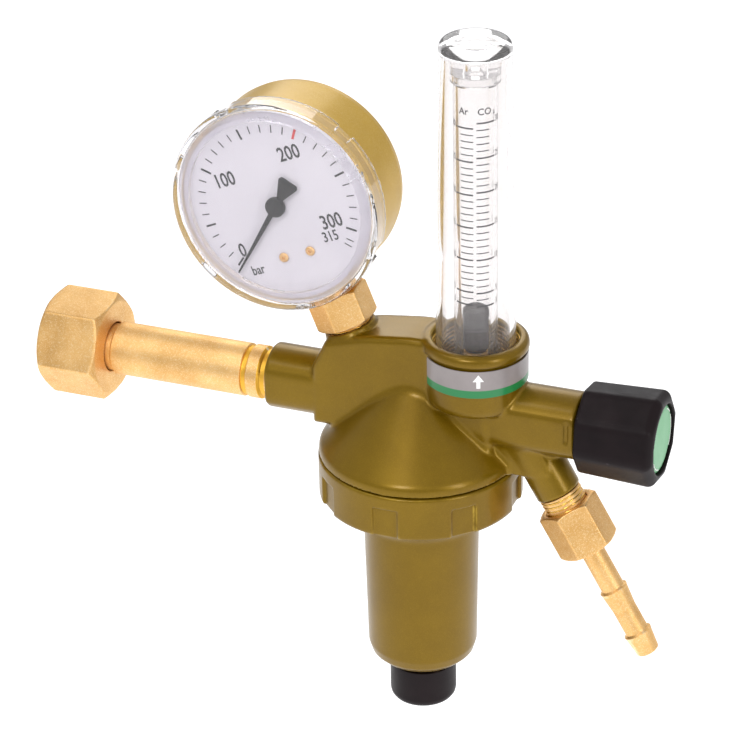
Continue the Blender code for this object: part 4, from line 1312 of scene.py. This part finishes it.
# %% Curved dashes up a tube
def tube_dash_tree():
    tree, given, out = shape_tree("tube_dashes", {
        "Count": 2, "Lowest": 30.0, "Spacing": 2.0, "Radius": 5.75, "Start Angle": 0.0,
        "Sweep": 0.5, "Width": 0.25, "Thickness": 0.05})
    arc = node(tree, "GeometryNodeCurveArc", {
        "Resolution": 10, "Radius": given.outputs["Radius"],
        "Start Angle": given.outputs["Start Angle"],
        "Sweep Angle": given.outputs["Sweep"]}, mode="RADIUS")
    section = node(tree, "GeometryNodeCurvePrimitiveQuadrilateral", {
        "Width": given.outputs["Thickness"], "Height": given.outputs["Width"]})
    dash = node(tree, "GeometryNodeCurveToMesh", {
        "Curve": arc.outputs["Curve"], "Profile Curve": section.outputs["Curve"],
        "Fill Caps": True})
    first = node(tree, "ShaderNodeCombineXYZ", {"Z": given.outputs["Lowest"]})
    rise = node(tree, "ShaderNodeCombineXYZ", {"Z": given.outputs["Spacing"]})
    line = node(tree, "GeometryNodeMeshLine", {
        "Count": given.outputs["Count"], "Start Location": first.outputs["Vector"],
        "Offset": rise.outputs["Vector"]})
    copies = node(tree, "GeometryNodeInstanceOnPoints", {
        "Points": line.outputs["Mesh"], "Instance": dash.outputs["Mesh"]})
    return close_tree(tree, given, out, copies.outputs["Instances"])


TUBE_DASHES = tube_dash_tree()
SCALE_RADIUS = 6.56
SCALE_FACING = -72.6
ARGON, CARBON_DIOXIDE = (38.5, 94.84), (37.9, 96.5)


def scale_height(gas, reading):
    """Height of a reading on one gas's column, which runs from 3 to 30 litres a minute."""
    return gas[0] + (gas[1] - gas[0]) * (reading - 3) / 27


def tube_dashes(gas, first, last, step, start, sweep, width):
    """Dashes from one reading to another; angles are from the scale's middle, in degrees."""
    return grown(TUBE_DASHES, {
        "Count": round((last - first) / step) + 1, "Lowest": scale_height(gas, first),
        "Spacing": scale_height(gas, step) - scale_height(gas, 0), "Radius": SCALE_RADIUS,
        "Start Angle": radians(SCALE_FACING + start), "Sweep": radians(sweep), "Width": width,
        "Thickness": 0.05}, "print_black")


parts = []
for side, gas in ((-1, ARGON), (1, CARBON_DIOXIDE)):
    inner = 4.0 * side
    for first, last, step, reach, width in ((3, 30, 1, 33, 0.34), (5, 30, 5, 50, 0.5),
                                            (3, 3, 1, 50, 0.5)):
        parts.append(tube_dashes(gas, first, last, step, inner, reach * side, width))
    for reading in (3, 5, 10, 15, 20, 25, 30):
        word = lettering(str(reading), 2.0, 0.04, 0.8)
        parts.append((wrapped(shifted(word, 0, scale_height(gas, reading) + 0.6)[0], 6.54,
                              SCALE_FACING + 66 * side), word[1]))
for words, turn in (("Ar", -29), ("CO", 25), ("2", 52)):
    word = lettering(words, 2.1 if words != "2" else 1.2, 0.04, 0.95, 0.04)
    lift = scale_height(ARGON, 30) + (5.2 if words != "2" else 4.5)
    parts.append((wrapped(shifted(word, 0, lift)[0], 6.54, SCALE_FACING + turn), word[1]))
points, faces = gathered(parts)
piece("flow_scale", moved(points, TUBE), faces, "print_black", crease=40)


# %% Screw threads
def thread_tree():
    tree, given, out = shape_tree("screw_thread", {
        "Turns": 4.0, "Pitch": 1.0, "Radius": 6.0, "Ridge": 0.4, "Per Turn": 48})
    height = add_up(tree, given.outputs["Turns"], given.outputs["Pitch"], "MULTIPLY")
    spiral = node(tree, "GeometryNodeCurveSpiral", {
        "Resolution": given.outputs["Per Turn"], "Rotations": given.outputs["Turns"],
        "Start Radius": given.outputs["Radius"], "End Radius": given.outputs["Radius"],
        "Height": height})
    section = node(tree, "GeometryNodeCurvePrimitiveCircle", {
        "Resolution": 6, "Radius": given.outputs["Ridge"]})
    ridge = node(tree, "GeometryNodeCurveToMesh", {
        "Curve": spiral.outputs["Curve"], "Profile Curve": section.outputs["Curve"],
        "Fill Caps": True})
    return close_tree(tree, given, out, ridge.outputs["Mesh"])


THREAD = thread_tree()


def threaded(name, place, radius, start, stop, pitch, ridge, body="regulator", look="thread_brass"):
    """A helical ridge that stands out of a bar, or into a bore, between two heights."""
    points, faces = grown(THREAD, {
        "Turns": (stop - start - 2 * ridge) / pitch, "Pitch": pitch, "Radius": radius,
        "Ridge": ridge, "Per Turn": 48}, look)
    points = np.asarray(points) + (0, 0, start + ridge)
    return piece(name, moved(points, place), faces, look, body)


threaded("outlet_thread", OUTLET, 6.45, 0.5, 9.4, 1.34, 0.34)
threaded("inlet_nut_thread", ARM, 10.15, -8.4, 5.2, 1.81, 0.5, "inlet_nut")
threaded("tube_socket_thread", TUBE, 13.25, 14.6, 24.0, 1.4, 0.36)
threaded("gauge_thread", STALK, 6.4, -54.6, -45.2, 1.34, 0.34)

# %% [markdown]
# The parts inside keep the frame's own solids, which are the right shape already. They only
# get better finishes, so that a cut-away or an exploded picture shows the same metals.

# %% Finishes for the hidden parts
SHOWN_BY_FRAME = {
    "inlet_filter": "sintered_bronze", "valve_seat": "brass", "valve_poppet": "brass",
    "poppet_spring": "spring_steel", "diaphragm_plate": "brass", "diaphragm": "rubber",
    "slip_washer": "spring_steel", "spring_seat": "spring_steel",
    "spring_button": "spring_steel", "main_spring": "spring_steel",
    "adjusting_screw": "spring_steel", "spindle_o_ring": "rubber",
    "movement_frame": "brass", "sector_gear": "brass", "gauge_link": "brass",
    "bourdon_tube": "brass", "pinion_shaft": "spring_steel", "hair_spring": "spring_steel"}
for name, look in SHOWN_BY_FRAME.items():
    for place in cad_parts[name].material_slots:
        place.material = FINISH[look]
print("frame solids dressed:", len(SHOWN_BY_FRAME))
